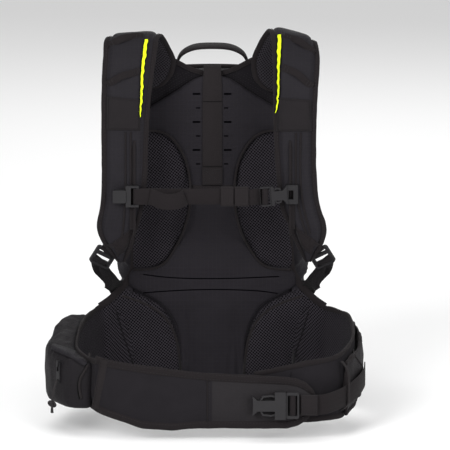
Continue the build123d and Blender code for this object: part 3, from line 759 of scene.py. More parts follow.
def make_tool_pocket():
    """The outer tool pocket, with its zip flap and two sewn daisy bands."""
    rings = []
    for z, tuck in ((27, 9), (31, 4), (38, 1), (170, 1), (300, 5), (312, 11), (317, 17)):
        y0 = BAG_BACK + bag_depth(z) + 1.2
        rings.append(ring_points(62.5 - tuck / 2, y0, BAG_BACK + bag_depth(z) + 31.0 - tuck, z, 13.0, 5, 3.0))
    pocket = loft("tool_pocket_skin", rings, "ripstop_light")
    inflate(pocket, 4.0, 4.0, 6.0, lambda x, y, z: y < BAG_BACK + bag_depth(z) + 4, 16)
    wrinkle(pocket, 1.8, 34.0, 9.0, lambda p: ramp01(p.y, 108, 126), (1, 1, 0.7))
    ride(pocket, "pack", "tool_pocket")
    tree = bvh_of(pocket)
    arch = smooth_path(mirror([(-50, 250), (-52, 272), (-44, 289), (-30, 296), (0, 298)]), 60)
    line = drop([(x, 260, z) for x, z in arch], tree, (0, -1, 0), 0.5, 100)
    ride(tube("tool_pocket_zip_flap", line, 2.4, "binding", 3.0, flat=0.5, up=(0, 1, 0)), "pack")
    inner = [(x * 0.94, 260, (z - 250) * 0.9 + 248) for x, z in arch]
    SEW.run(drop(inner, tree, (0, -1, 0), 0.5, 100), "pack")
    for z in (90.0, 200.0):
        band = drop([(x, 260, z) for x in np.linspace(-60, 60, 30)], tree, (0, -1, 0), 0.9, 100)
        ride(ribbon(f"daisy_band_{int(z)}", band, (0, 0, 1), 20.0, 1.4), "pack")
        for x in (-45, -15, 15, 45):
            bar = drop([(x, 260, z + k) for k in np.linspace(-8, 8, 9)], tree, (0, -1, 0), 1.9, 100)
            SEW.run(bar, "pack", 1.6, 0.2, 0.5)


BOX_FACES = ((0, 1, 3, 2), (4, 6, 7, 5), (0, 4, 5, 1), (2, 3, 7, 6), (0, 2, 6, 4), (1, 5, 7, 3))


def zip_coil(name, pts, along, across, up, half, shift, body):
    """Two staggered rows of teeth. half is a tooth's half size along, across and up."""
    verts, faces = [], []
    for p, t, a, n in zip(pts, along, across, up):
        for side in SIDES:
            c = p + a * side * 0.9 + t * (shift[0] * side) + n * shift[1]
            base = len(verts)
            for dt in (-half[0], half[0]):
                for da in (-half[1], half[1]):
                    for dn in (-half[2], half[2]):
                        verts.append(c + t * dt + a * da + n * dn)
            faces += [tuple(base + k for k in f) for f in BOX_FACES]
    ride(recalc(make(name, verts, faces, None, ("coil",), smooth=False)), body)


def front_at(z, lift):
    """A point's y on the bag's front slope."""
    return BAG_BACK + bag_depth(z) + lift


def make_main_zip():
    """The main zip, a tall arch round the tool pocket."""
    path = [(72.5, 66), (72.5, 140), (72.5, 240), (72.5, 326), (70, 342), (60, 353), (44, 356.5), (0, 356.5)]
    pts = [(x, front_at(z, 1.4), z) for x, z in smooth_path(mirror(path), 90)]
    slope = (0, 1.0, 0.075)
    t = tangents(np.array(pts))
    side = np.cross(t, np.tile(slope, (len(t), 1)))
    ride(ribbon("main_zip_tape", pts, side, 9.5, 0.9, "binding", 3.0), "pack", "main_zip_track")
    fine = even_path(pts, 1.6)[:, :3]
    t = tangents(fine)
    side = unit(np.cross(t, np.tile(slope, (len(t), 1))))
    up = np.tile((0, 1.0, 0), (len(t), 1))
    zip_coil("main_zip_coil", fine, t, side, up, (0.45, 0.95, 0.6), (0.4, 0.7), "pack")


def make_side_straps():
    """Two compression straps on each side of the bag."""
    for z in (120.0, 300.0):
        for side in SIDES:
            label = SIDES[side]
            x = bag_half(z + 13) + 0.8 + 0.7
            path = [(x - 3, 22, z), (x - 0.4, 32, z), (x, 42, z), (x, 60, z), (x, 84, z)]
            path += [(x - 2, 96, z - 1), (x - 9, 106, z - 2)]
            obj = ribbon(f"compression_strap_{int(z)}_{label}", flip(side, path), (0, 0, 1), 20.0, 1.4)
            ride(obj, "pack", "compression_straps")


def make_haul_loop():
    """The haul loop, narrow at its tabs and wide in the hand."""
    top = 426.0
    path = [(44, 22, top), (43.4, 22, top + 9), (37, 22, top + 19), (22, 22, top + 26), (0, 22, top + 27.6)]
    widths = [7, 12, 21, 25, 25, 25, 21, 12, 7]
    loop = ribbon("haul_loop_webbing", mirror(path), (0, 1, 0.09), widths, 2.8, "webbing", 2.5)
    ride(loop, "haul_loop", "haul_loop")
    for side in SIDES:
        label = SIDES[side]
        path = flip(side, [(34, 22, 424.2), (44, 22, 424.9), (54, 22, 424.0)])
        ride(ribbon(f"haul_tab_{label}", path, (0, 1, 0), 19.0, 1.4), "pack", "haul_loop_tabs")
        box = [(36, 14, 425.2), (52, 14, 425.1), (52, 30, 425.1), (36, 30, 425.2), (36, 14, 425.2)]
        SEW.run(flip(side, box), "pack", smooth=False)


# ------------------------------------------------------------------ back panel

# Outlines of the cushions, as x and z: half of the centre pad, and the pads on the left
CENTRE_HALF = [
    (17, 419), (48, 400), (80, 380.5), (88, 374), (92, 362), (88, 352), (70, 349), (55, 341), (42, 325),
    (32, 303), (28, 276), (29.5, 252), (36, 227), (45, 206), (57, 187), (72, 178.5), (96, 176.5),
    (104, 169), (107, 161), (105, 153), (92, 145.5), (70, 134), (56, 121), (47.5, 106), (42.5, 86),
    (40, 60), (39, 12),
]
UPPER_PAD = [
    (90, 353), (70, 351.5), (52, 343), (37, 322), (30, 300), (27.5, 276), (29, 252), (36, 226),
    (45, 205), (58, 185), (74, 176), (99, 174), (99, 230), (99, 300), (97, 350),
]
LOWER_PAD = [
    (113, 150), (90, 142), (70, 131.5), (57, 119), (48.5, 104), (43, 84), (40, 52), (39.5, 13),
    (75, 10.5), (95, 12), (100, 45), (110, 82), (120, 115), (125, 130), (121, 141),
]
# x, height of the hip fin's upper edge, and how far it comes forwards
FIN = [
    (98, 174, 0), (102, 167, 0.3), (107, 160, 1), (116.5, 149, 3.2), (128, 139, 7.5), (140, 131.5, 13),
    (148, 129, 18),
]


def fin(x, column):
    """A column of the hip fin's table at a distance from the middle."""
    return float(np.interp(abs(x), [f[0] for f in FIN], [f[column] for f in FIN]))


def dense(points, count, closed=True):
    """A smooth path as a list of points."""
    return [tuple(p) for p in smooth_path(points, count, closed)]


def soften(line, rounds=6):
    """Evens out a path's depth."""
    ys = np.array([p[1] for p in line])
    for _ in range(rounds):
        ys = np.convolve(np.pad(ys, 2, "edge"), np.ones(5) / 5, "valid")
    return [(p[0], y, p[2]) for p, y in zip(line, ys)]


def make_back_panel():
    """The centre pad and mesh pads, blown up as cushions on a base sheet, with their piping."""
    half = [(0, 415), (17, 415), (80, 376), (92, 368), (99, 352), (100, 300), (99, 230), (100, 176)]
    half += [(105, 164), (107, 150), (108, 80), (107, 11)]
    whole = half + flip(-1, half[::-1])
    base = outline_block("panel_base", whole, -5.6, -2.4, "ripstop_pad", 6.0)
    ride(base, "pack")
    outline = CENTRE_HALF + flip(-1, CENTRE_HALF[::-1])
    pad = outline_block("centre_pad_cushion", outline, -13.0, -2.6, "ripstop_pad", 3.0)
    inflate(pad, 3.0, 2.6, 4.0, lambda x, y, z: y > -4.5, 16)
    wrinkle(pad, 0.8, 30.0, 21.0, lambda p: 1 - ramp01(p.z, 150, 260))
    fold_waist(pad)
    ride(pad, "pack", "centre_pad")
    pads = [pad]
    for side in SIDES:
        label = SIDES[side]
        for name, pts in (("upper", UPPER_PAD), ("lumbar", LOWER_PAD)):
            cushion = outline_block(f"{name}_cushion_{label}", flip(side, pts), -10.5, -2.6, "mesh", 3.0)
            inflate(cushion, 5.0, 4.2, 4.0, lambda x, y, z: y > -4.0, 16)
            if name == "upper":
                ride(cushion, "pack", f"upper_mesh_pad_{label}")
            else:
                shear_fin(cushion)
                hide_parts(f"lumbar_mesh_pad_{label}")
                hip_blend(cushion)
            pads.append(cushion)
    tree = bvh_of(*pads)
    centre_tree = bvh_of(pad)
    for side in SIDES:
        label = SIDES[side]
        for name, pts in (("upper", UPPER_PAD[:12]), ("lumbar", LOWER_PAD[:8])):
            line = soften(drop([(side * x, -60, z) for x, z in dense(pts, 70, False)], tree, (0, 1, 0), 0.0))
            line = [(x, y - 1.0, z) for x, y, z in line]
            pipe = tube(f"{name}_pad_piping_{label}", line, 1.5, "binding", 2.5)
            if name == "upper":
                ride(pipe, "pack")
            else:
                hip_blend(pipe)
            sewn = [(x - side * 3.4, y - 0.6, z) for x, y, z in line[4:-6]]
            SEW.run(sewn, "pack", 1.8, 1.5, 0.26, "thread_dark")
        border = [(99, -5.5, 356), (98, -6.4, 330), (97, -6.6, 290), (95.5, -6.8, 250), (96.5, -6.8, 215)]
        border += [(98.5, -7.0, 186), (101, -7.4, 171)]
        border += [(x + 1.5, -8.5 - d, z - 2.2) for x, z, d in FIN[2:6]]
        path = flip(side, border)
        across = np.cross(tangents(np.array(path)), (0, 1.0, 0))
        hip_blend(ribbon(f"panel_border_{label}", path, across, 8.5, 2.2, "binding", 2.5))
        SEW.run([(x - side * 2.6, y - 1.5, z) for x, y, z in path[:7]], "pack", 2.2, 1.5, 0.28)
    return centre_tree, pads


def make_foot_hem():
    """The bound hem along the foot of the back wall, under the panel."""
    line = [(x, -2.4, 4.2) for x in np.linspace(-95, 95, 40)]
    ride(ribbon("foot_hem_tape", line, (0, 0, 1), 7.0, 2.2, "binding", 3.0), "pack")
    SEW.run([(x, -4.0, 4.6) for x in np.linspace(-93, 93, 60)], "pack", 2.4, 1.5, 0.3)


# x, half width and depth
WAIST_FOLDS = ((31.0, 3.2, 2.6), (22.5, 2.4, 1.2), (-33.0, 3.0, 2.2), (-24.0, 2.6, 1.4), (3.0, 7.0, -0.9))


def fold_waist(pad):
    """Upright folds beside the pad's waist, where the lumbar cushions pull it back."""
    me = pad.data
    for v in me.vertices:
        x, y, z = v.co / MM
        if y > -6 or z > 150:
            continue
        deep = 0.0
        for at, wide, k in WAIST_FOLDS:
            bend = at + 1.8 * math.sin(z * 0.045 + at)
            deep += k * math.exp(-(((x - bend) / wide) ** 2))
        v.co.y += deep * (1 - ramp01(z, 105, 146)) * MM
    me.update()


def shear_fin(obj):
    """Brings a piece forwards where it follows the hip fin."""
    me = obj.data
    for v in me.vertices:
        v.co.y -= fin(v.co.x / MM, 2) * MM
    me.update()


def hip_blend(obj):
    """Bakes the object's placement into its points."""
    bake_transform(obj)
    return obj


def make_prints(tree):
    """Back-length marks beside the centre strap, and the two curved print lines."""

    def plate(name, line, high):
        low = seen([(x, v - high / 2) for x, v in line], tree, 0.25)
        top = seen([(x, v + high / 2) for x, v in line], tree, 0.25)
        n = len(line)
        return make(name, low + top, [(i, i + 1, n + i + 1, n + i) for i in range(n - 1)], None, ("print",))

    marks = []
    for i in range(6):
        v = 389.7 - i * 17.5
        reach, high = (9.4, 2.3) if i % 2 == 0 else (5.4, 1.6)
        for side in SIDES:
            start = side * 14.2 + (0.3 if side > 0 else -1.0)
            line = between([(start, v), (start + side * reach, v)], 4)
            marks.append(plate(f"mark_{i}_{side}", line, high))
    upper = [(-87, 163.6), (-60, 160.2), (-30, 158.6), (0, 158.3), (30, 158.8), (60, 160.0), (84, 161.0)]
    lower = [(-87, 140.3), (-60, 142.4), (-30, 144.0), (0, 144.6), (30, 144.2), (60, 142.6), (82, 139.6)]
    marks.append(plate("print_a", dense(upper, 50, False), 1.3))
    marks.append(plate("print_b", dense(lower, 50, False), 1.3))
    ride(join_objects(marks, "back_prints"), "pack")


def join_objects(objs, name):
    """One object from several."""
    verts, faces, uvs, mats, ids = [], [], [], [], []
    for o in objs:
        base = len(verts)
        me = o.data
        own = list(me.materials)
        for m in own:
            if m not in mats:
                mats.append(m)
        verts += [tuple(v.co) for v in me.vertices]
        layer = me.uv_layers["UVMap"].data
        for p in me.polygons:
            faces.append([base + i for i in p.vertices])
            ids.append(mats.index(own[p.material_index]))
            uvs += [tuple(layer[li].uv) for li in p.loop_indices]
    me = bpy.data.meshes.new(name)
    me.from_pydata(verts, [], faces)
    for m in mats:
        me.materials.append(m)
    me.polygons.foreach_set("material_index", np.array(ids, dtype=np.int32))
    me.polygons.foreach_set("use_smooth", [True] * len(faces))
    layer = me.uv_layers.new(name="UVMap")
    layer.data.foreach_set("uv", np.array(uvs, dtype=np.float32).ravel())
    obj = bpy.data.objects.new(name, me)
    bpy.context.scene.collection.objects.link(obj)
    for o in objs:
        bpy.data.objects.remove(o)
    return obj


def grid_sheet(name, rows, mat, body=None, thick=0.0):
    """A sheet through rows of equally many points."""
    r, c = len(rows), len(rows[0])
    verts = [p for row in rows for p in row]
    corner = [i * c + j for i in range(r - 1) for j in range(c - 1)]
    faces = [(k, k + 1, k + c + 1, k + c) for k in corner]
    obj = make(name, verts, faces, None, (mat,))
    if thick:
        mod = obj.modifiers.new("solid", "SOLIDIFY")
        mod.thickness = thick * MM
        mod.offset = 0
        bake(obj)
        box_map(obj)
    if body:
        ride(obj, body)
    return obj


YOKE_LOW = 352.0


def make_yoke():
    """The yoke's cloth with its dotted chevron seams and bound neckline."""
    neck = mirror([(-104, 446), (-84, 449), (-62, 447), (-47, 440.5), (-30, 431.5), (-14, 426), (0, 424)])
    top = smooth_path(neck, 61)
    rows = []
    for k in range(15):
        t = k / 14
        y = [-1.2 + 0.5 * math.sin(x * 0.11) * math.sin(k * 0.8) for x, _ in top]
        rows.append([(x * (1 - 0.14 * t), d, z + (YOKE_LOW - z) * t) for (x, z), d in zip(top, y)])
    sheet = grid_sheet("yoke_cloth_sheet", rows, "yoke", None, 1.2)
    rows = [[(x, -1.1, z) for x in np.linspace(-41, 41, 9)] for z in np.linspace(YOKE_LOW, 263, 10)]
    tail = grid_sheet("yoke_tail_sheet", rows, "yoke", None, 1.2)
    yoke = join_objects([sheet, tail], "yoke_cloth")
    ride(yoke, "yoke", "yoke_plate")
    line = [(x, -2.6, z - 2.5) for x, z in neck[2:-2]]
    ride(ribbon("neckline_binding", line, (0, 0, 1), 6.5, 1.6, "binding", 2.5), "yoke")
    SEW.run([(x, -3.7, z - 4.6) for x, z in neck[2:-2]], "yoke", 2.0, 1.4, 0.28)
    for k in range(6):
        for side in SIDES:
            path = [(side * 22, -2.2, 418.5 - 4.5 * k * 0.2 + 3.6 * k), (side * 84, -2.2, 378.5 + 3.9 * k)]
            if 418.5 + 3.6 * k > 428:
                path[0] = (side * (22 + 7 * (k - 2)), -2.2, 418.5 - 4.6 * (k - 2) + 3.6 * k)
            SEW.run(path, "yoke", 1.6, 2.0, 0.34, smooth=False)


def make_length_strap(tree):
    """The centre strap: over the pad's face, seam and stitched tab, and over the top edge."""
    line = drop([(0, -60, z) for z in (284, 300, 320, 345, 370, 395, 408)], tree, (0, 1, 0), 1.0)
    path = [tuple(p) for p in line] + [(0, -13.4, 417), (0, -9.5, 427), (0, -3.8, 431.5), (0, 0.2, 431.5)]
    widths = [25] * 6 + [24, 23, 22, 22, 22]
    strap = ribbon("length_strap_band", path, (1, 0, 0), widths, 1.5, "strap_band", 2.5)
    y_tab = line[0][1]
    path = [(0, y_tab - 1.3, 283.0), (0, y_tab - 1.4, 296), (0, line[1][1] - 1.2, 306)]
    tab = ribbon("length_strap_tab", path, (1, 0, 0), 25.4, 1.6, "strap_band", 2.5)
    seam = drop([(x, -60, 389) for x in (-12, -6, 0, 6, 12)], bvh_of(strap), (0, 1, 0), 0.2)
    fold = tube("length_strap_seam", seam, 0.45, "rubber", 2.0)
    path = mirror([(-12.4, y_tab - 2.2, 306.4), (0, y_tab - 2.3, 306.4)])
    edge = tube("length_tab_edge", path, 0.4, "rubber", 2.0)
    band = join_objects([strap, tab, fold, edge], "length_strap_webbing")
    ride(band, "yoke", "length_strap")
    y = y_tab - 2.5
    box = [(-10, y, 286), (10, y, 286), (10, y, 303), (-10, y, 303), (-10, y, 286)]
    for path in (box, [(-10, y, 286), (10, y, 303)], [(-10, y, 303), (10, y, 286)]):
        SEW.run(path, "yoke", 1.5, 0.9, 0.3, smooth=False)
    ledge = drop([(x, -60, 279.5) for x in (-26, -14, 0, 14, 26)], tree, (0, 1, 0), 0.8)
    ride(ribbon("length_slot_binding", ledge, (0, 0, 1), 5.0, 2.0, "binding", 2.5), "pack")
    SEW.run([(p[0], p[1] - 1.3, p[2]) for p in ledge], "pack", 2.0, 1.4, 0.28)


# ------------------------------------------------------------------ shoulder straps

# For each strap: y, z, inner edge, outer edge, share of full thickness, roll in degrees
STRAPS = {
    -1: [
        (-8.4, 403.5, 76, 96, 0.5, 0), (-8.4, 406.5, 64, 104, 0.8, 0), (-8.4, 412, 57, 108, 1, 0),
        (-8.4, 422, 49.5, 112, 1, 0), (-8.6, 440, 45.5, 113, 1, 0), (-14, 456, 52, 119, 1, 1),
        (-25, 468, 58, 125, 1, 3), (-40, 475, 63, 132, 1, 3), (-56, 470, 67, 135.5, 1, 3),
        (-70, 455, 69.5, 136, 1, 2), (-81, 431, 73, 137.5, 1, 0), (-87, 396, 77, 138, 1, 0),
        (-88, 352, 79.5, 138, 1, 0), (-88, 310, 81, 138, 1, 0), (-87.5, 282, 83.5, 138.5, 1, 0),
        (-86.5, 262, 86.5, 141, 1, 0), (-85, 246, 91, 144, 1, 0), (-83, 232, 95.5, 142, 1, 0),
        (-80, 216, 99.5, 134.5, 1, 0), (-77, 204, 104.5, 125.5, 0.8, 0), (-75, 196, 109, 119.5, 0.5, 0),
    ],
    1: [
        (-8.4, 398.5, 80, 98, 0.5, 0), (-8.4, 402, 68, 105, 0.8, 0), (-8.4, 408, 59, 109, 1, 0),
        (-8.4, 419, 51, 112, 1, 0), (-8.6, 440, 49, 114, 1, 2), (-14, 458, 56, 120, 1, 7),
        (-25, 470, 63, 126, 1, 12), (-40, 475.5, 69, 131, 1, 15), (-56, 470.5, 72, 133.5, 1, 15),
        (-70, 456, 74, 134.5, 1, 12), (-81, 431, 75.3, 133, 1, 6), (-87, 396, 75.5, 130.5, 1, 1),
        (-88, 352, 77, 129.5, 1, 0), (-88, 310, 79.5, 130, 1, 0), (-87.5, 282, 82, 132, 1, 0),
        (-86.5, 262, 86, 136.5, 1, 0), (-85, 246, 93.5, 141.5, 1, 0), (-83, 232, 98.5, 142, 1, 0),
        (-80, 216, 105, 137, 1, 0), (-77, 204, 111, 129, 0.8, 0), (-75, 196, 115.5, 124, 0.5, 0),
    ],
}
BIND = 5.6


def pad_section(half, thick, bind, steps=13, power=2.6):
    """Across and normal offsets round a bound pad, and which material each side of it has."""
    edge = 1.7
    core = half - bind - 1.6
    front = [(-half, 0.0), (-half + 0.7, edge), (-half + bind, edge + 0.3), (-half + bind + 0.7, edge - 0.7)]
    rise = thick / 2 - edge + 0.4
    front += [(core * s, edge - 0.4 + rise * (1 - abs(s) ** power)) for s in np.linspace(-1, 1, steps)]
    front += [(half - bind - 0.7, edge - 0.7), (half - bind, edge + 0.3), (half - 0.7, edge), (half, 0.0)]
    back = [(a, -h) for a, h in front[1:-1][::-1]]
    which = [1, 1, 1] + [0] * (steps + 1) + [1, 1, 1] + [1, 1, 1] + [2] * (steps + 1) + [1, 1, 1]
    return front + back, which


def make_straps():
    """Bound foam straps: cloth outside, mesh inside, with everything sewn on them."""
    for side in SIDES:
        label = SIDES[side]
        rows = smooth_path(STRAPS[side], 110)
        d = unit(np.gradient(rows[:, :2], axis=0))
        normal = np.stack([np.zeros(len(d)), d[:, 1], -d[:, 0]], axis=1)
        across = np.tile((1.0, 0, 0), (len(rows), 1))
        roll = np.radians(rows[:, 5:6]) * side
        cos, sin = np.cos(roll), np.sin(roll)
        across, normal = across * cos - normal * sin, normal * cos + across * sin
        centres = np.stack([side * (rows[:, 2] + rows[:, 3]) / 2, rows[:, 0], rows[:, 1]], axis=1)
        half = (rows[:, 3] - rows[:, 2]) / 2
        sections = []
        for h, t in zip(half, rows[:, 4]):
            one, which = pad_section(h, (13.6 if side > 0 else 12.6) * t, min(BIND, h * 0.4), 21, 9.0)
            sections.append(one)
        mats = ("ripstop", "binding", "strap_mesh")
        strap = recalc(sweep(f"strap_pad_{label}", centres, across, normal, np.array(sections), mats, which))
        wrinkle(strap, 0.6, 26.0, 4.0 + side)
        ride(strap, "yoke", f"shoulder_strap_{label}")
        for sign in (-1, 1):
            path = centres + across * (sign * (half[:, None] - BIND + 1.3)) + normal * 2.35
            SEW.run(path[5:-3], "yoke", 2.4, 1.6, 0.3)
        decorate_strap(side, label, bvh_of(strap))


# x and v of what is sewn on each strap, as the front camera sees it
BANDS = {
    -1: [
        [(-131, 447.5), (-121, 453), (-111, 456.7), (-95, 460.6), (-86, 460)],
        [(-131, 400.5), (-122, 405), (-113, 409.6), (-101, 413.8), (-89, 417.5)],
    ],
    1: [
        [(89.5, 460.5), (99, 457.5), (108.7, 452.9), (118.6, 446.5), (127.5, 440)],
        [(86.5, 422), (96, 418), (105.4, 412.8), (114, 406), (124.5, 398)],
    ],
}
PATCH = {
    -1: [(-131.5, 343.7), (-90, 343), (-89, 381.5), (-131, 385.5)],
    1: [(79, 342), (124, 342), (122.8, 381), (80.5, 384)],
}
SLIT = {
    -1: [
        (-82.4, 457, 2.4), (-83.6, 445, 2.7), (-86.9, 416, 2.1), (-87.9, 391, 1.9), (-89.3, 368, 1.4),
        (-89.9, 360, 0.7),
    ],
    1: [
        (84.0, 463, 2.5), (83.2, 445, 2.8), (82.2, 416, 2.0), (82.0, 389, 1.8), (80.0, 371, 1.3),
        (78.7, 365, 0.7),
    ],
}
CORDS = {
    -1: [
        [(-108, 341), (-108, 300), (-108.5, 262), (-110.5, 228), (-112.5, 211)],
        [(-101.5, 341), (-101.5, 300), (-101.2, 262), (-99.5, 226)],
    ],
    1: [
        [(104, 340), (104, 290), (105.5, 262), (111, 234), (117.5, 214)],
        [(110, 340), (109.5, 290), (112, 258), (118, 230), (122, 215)],
    ],
}
# the wide webbing sewn across the strap's end
CROSS = {
    -1: [(-98.5, 222), (-124.5, 203.5), (-118.5, 186.5), (-107, 197.5)],
    1: [(102.5, 224), (129, 206), (123, 188.5), (111.5, 199)],
}
# the sewn loop that carries the ladder lock
LOCK_LOOP = [
    (129.5, -74.8, 211.5), (131.8, -75.2, 209.6), (133.6, -73.0, 207.8), (132.2, -68.2, 207.5),
    (128, -67.2, 209.5),
]


def decorate_strap(side, label, tree):
    """Daisy bands, patch, bright slit, cords and the wide sewn webbing on one strap."""
    for k, points in enumerate(BANDS[side]):
        laid = seen(dense(points, 24, False), tree, 0.9)
        loose = 4.2 if k == 0 else 2.6
        t = np.linspace(0, 1, 24)
        puff = loose * np.clip(np.sin(math.pi * np.clip((t - 0.14) / 0.66, 0, 1)), 0, 1) ** 1.4
        path = [np.array(p) - GAZE * h + RISE * h * 0.35 for p, h in zip(laid, puff)]
        along = tangents(np.array(path))
        across = np.cross(along, np.tile(GAZE, (24, 1)))
        ride(ribbon(f"daisy_{label}_{k}", path, across, 8.8, 1.2, "webbing", 1.5), "yoke")
        for i in (2, 4, 19, 21):
            bar = [np.array(laid[i]) + across[i] * d - GAZE * 1.1 for d in (-3.6, 3.6)]
            SEW.run(bar, "yoke", 1.4, 0.1, 0.4, smooth=False)
    (ax, av), (bx, bv), (cx, cv), (dx, dv) = PATCH[side]
    rows = []
    for t in np.linspace(0, 1, 14):
        left, right = (ax + (dx - ax) * t, av + (dv - av) * t), (bx + (cx - bx) * t, bv + (cv - bv) * t)
        rows.append(seen(between([left, right], 14), tree, 0.75))
    ride(grid_sheet(f"strap_patch_{label}", rows, "patch", None, 0.9), "yoke")
    inset = [(ax + 2, av + 2), (bx - 2, bv + 2), (cx - 2, cv - 2), (dx + 2, dv - 2), (ax + 2, av + 2)]
    SEW.run(seen(between(inset, 60), tree, 1.4), "yoke", 2.2, 1.4, 0.26, "thread_dark", smooth=False)
    line = smooth_path(SLIT[side], 70)
    jag = [0.9 * math.sin(i * 0.93) + 0.7 * math.sin(i * 0.47 + 1) for i in range(70)]
    inner = [(x - side * (w + 0.5 * j), v) for (x, v, w), j in zip(line, jag)]
    outer = [(x + side * (w - 0.2 * j), v) for (x, v, w), j in zip(line, jag)]
    rows = [seen(inner, tree, 2.0), seen([(x, v) for x, v, _ in line], tree, 2.3), seen(outer, tree, 2.0)]
    ride(grid_sheet(f"bright_slit_{label}", rows, "hivis"), "yoke")
    for name, pts in (("a", inner), ("b", outer)):
        ride(tube(f"slit_lip_{label}_{name}", seen(pts, tree, 1.8), 0.7, "rubber", 2.0), "yoke")
    for k, points in enumerate(CORDS[side]):
        line = seen(dense(points, 40, False), tree, 0.7)
        ride(tube(f"strap_cord_{label}_{k}", line, 1.2, "binding", 2.5), "yoke")
    a, b, c, d = CROSS[side]
    rows = [seen(between([p, q], 14), tree, 0.9) for p, q in zip(between([a, d], 8), between([b, c], 8))]
    ride(grid_sheet(f"strap_cross_{label}", rows, "webbing", None, 1.2), "yoke")
    for k in (1, 6):
        SEW.run([np.array(q) - GAZE * 1.0 for q in rows[k]], "yoke", 1.8, 1.3, 0.26, "thread_dark")
    start = np.array(rows[4][8])
    path = [start + GAZE * 0.6, start + np.array((side * 4.5, 0.6, -3.2))]
    path += flip(side, LOCK_LOOP)
    ride(ribbon(f"lock_loop_{label}", path, (side * 0.66, -0.30, 0.62), 19.0, 1.4, "webbing", 1.5), "yoke")


def make_rails():
    """Piping rails that carry the chest strap, on sewn flanges."""
    for side in SIDES:
        label = SIDES[side]
        x = side * 97.0
        path = [
            (x, -94.6, 352), (x, -95.6, 347), (x, -96.4, 341), (x, -96.4, 300), (x, -96.4, 246),
            (x, -95.4, 239), (x, -92.0, 233),
        ]
        ride(tube(f"chest_rail_{label}", path, 1.5, "binding", 2.5, 10), "yoke", "chest_strap_rails")
        zs = np.linspace(346, 240, 24)
        rows = [[(x + side * a, y, z) for z in zs] for a, y in ((0.2, -96.2), (2.6, -94.2), (6.0, -93.4))]
        ride(grid_sheet(f"rail_flange_{label}", rows, "binding", None, 0.8), "yoke")


# ------------------------------------------------------------------ chest strap

CHEST_Z, CHEST_Y = 283.0, -102.0


def tilt_plane(x, y, z, tilt):
    """Turns a buckle's own coordinates into the frame's."""
    t = math.radians(tilt)
    cos, sin = math.cos(t), math.sin(t)
    return lambda a, b, c: (x - a * cos + b * sin, y - c, z - a * sin - b * cos)


def make_chest_strap():
    """The chest webbing round the slider's bar and the plug's bar, its slack loop and keepers."""
    y, z = CHEST_Y, CHEST_Z
    path = [
        (-62, y + 2.9, z), (-90, y + 2.9, z), (-96.2, y + 2.4, z), (-97.6, y + 0.4, z), (-96.0, y - 1.9, z),
        (-90, y - 2.2, z),
    ]
    path += [
        (-70, y - 0.6, z), (-55, y + 1.0, z), (-20, y + 1.0, z), (20, y + 1.0, z), (49, y + 1.0, z - 1.2),
    ]
    local = tilt_plane(73.4, CHEST_Y, z + 0.8, 5.0)
    bar = 7.58  # from the plug's middle to its webbing bar
    wrap = [
        (3.6, -3.2), (2.9, -2.0), (2.9, 1.2), (1.6, 2.3), (-1.6, 2.3), (-2.9, 1.2), (-2.9, -3.6),
        (-0.5, -5.0),
    ]
    for a, c in [(22, -1.4), (16, -3.2)] + [(bar + a, c) for a, c in wrap] + [(22, -5.0)]:
        path.append(local(a, 0, c))
    main = ribbon("chest_webbing_band", path, (0, 0, 1), 20.0, 1.4, "webbing", 1.5)
    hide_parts("chest_webbing")
    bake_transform(main)
    loop = [
        (-78, -3.0, 0.5), (-73, -5.5, -0.5), (-65, -9.5, -3.5), (-55, -11, -5.0), (-45, -9.5, -4.5),
        (-38, -6.0, -2.5), (-34, -2.6, -0.5),
    ]
    loop = [(x, y + dy, z + dz) for x, dy, dz in loop]
    slack = ribbon("chest_slack_loop", loop, (0, 0.12, 1), 20.0, 1.4, "webbing", 2.0)
    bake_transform(slack)
    keepers = []
    half = [
        (-1.6, 10.6), (1.0, 11.6), (3.6, 10.6), (3.9, 0), (3.6, -10.6), (1.0, -11.6), (-1.6, -10.6),
        (-1.9, 0),
    ]
    for x0, x1 in ((10.5, 26.5), (27.8, 45.0)):
        ring = [((x0 + x1) / 2, y + dy, z + dz) for dy, dz in half]
        pts = smooth_path(ring, 36, closed=True)
        pts = np.vstack([pts, pts[:1]])
        keepers.append(ribbon(f"keeper_{int(x0)}", pts, (1, 0, 0), x1 - x0, 1.0, "strap_band", 1.5))
    ride(join_objects(keepers, "chest_keeper_loops"), "chest_plug", "chest_strap_keepers")


# ------------------------------------------------------------------ adjusters


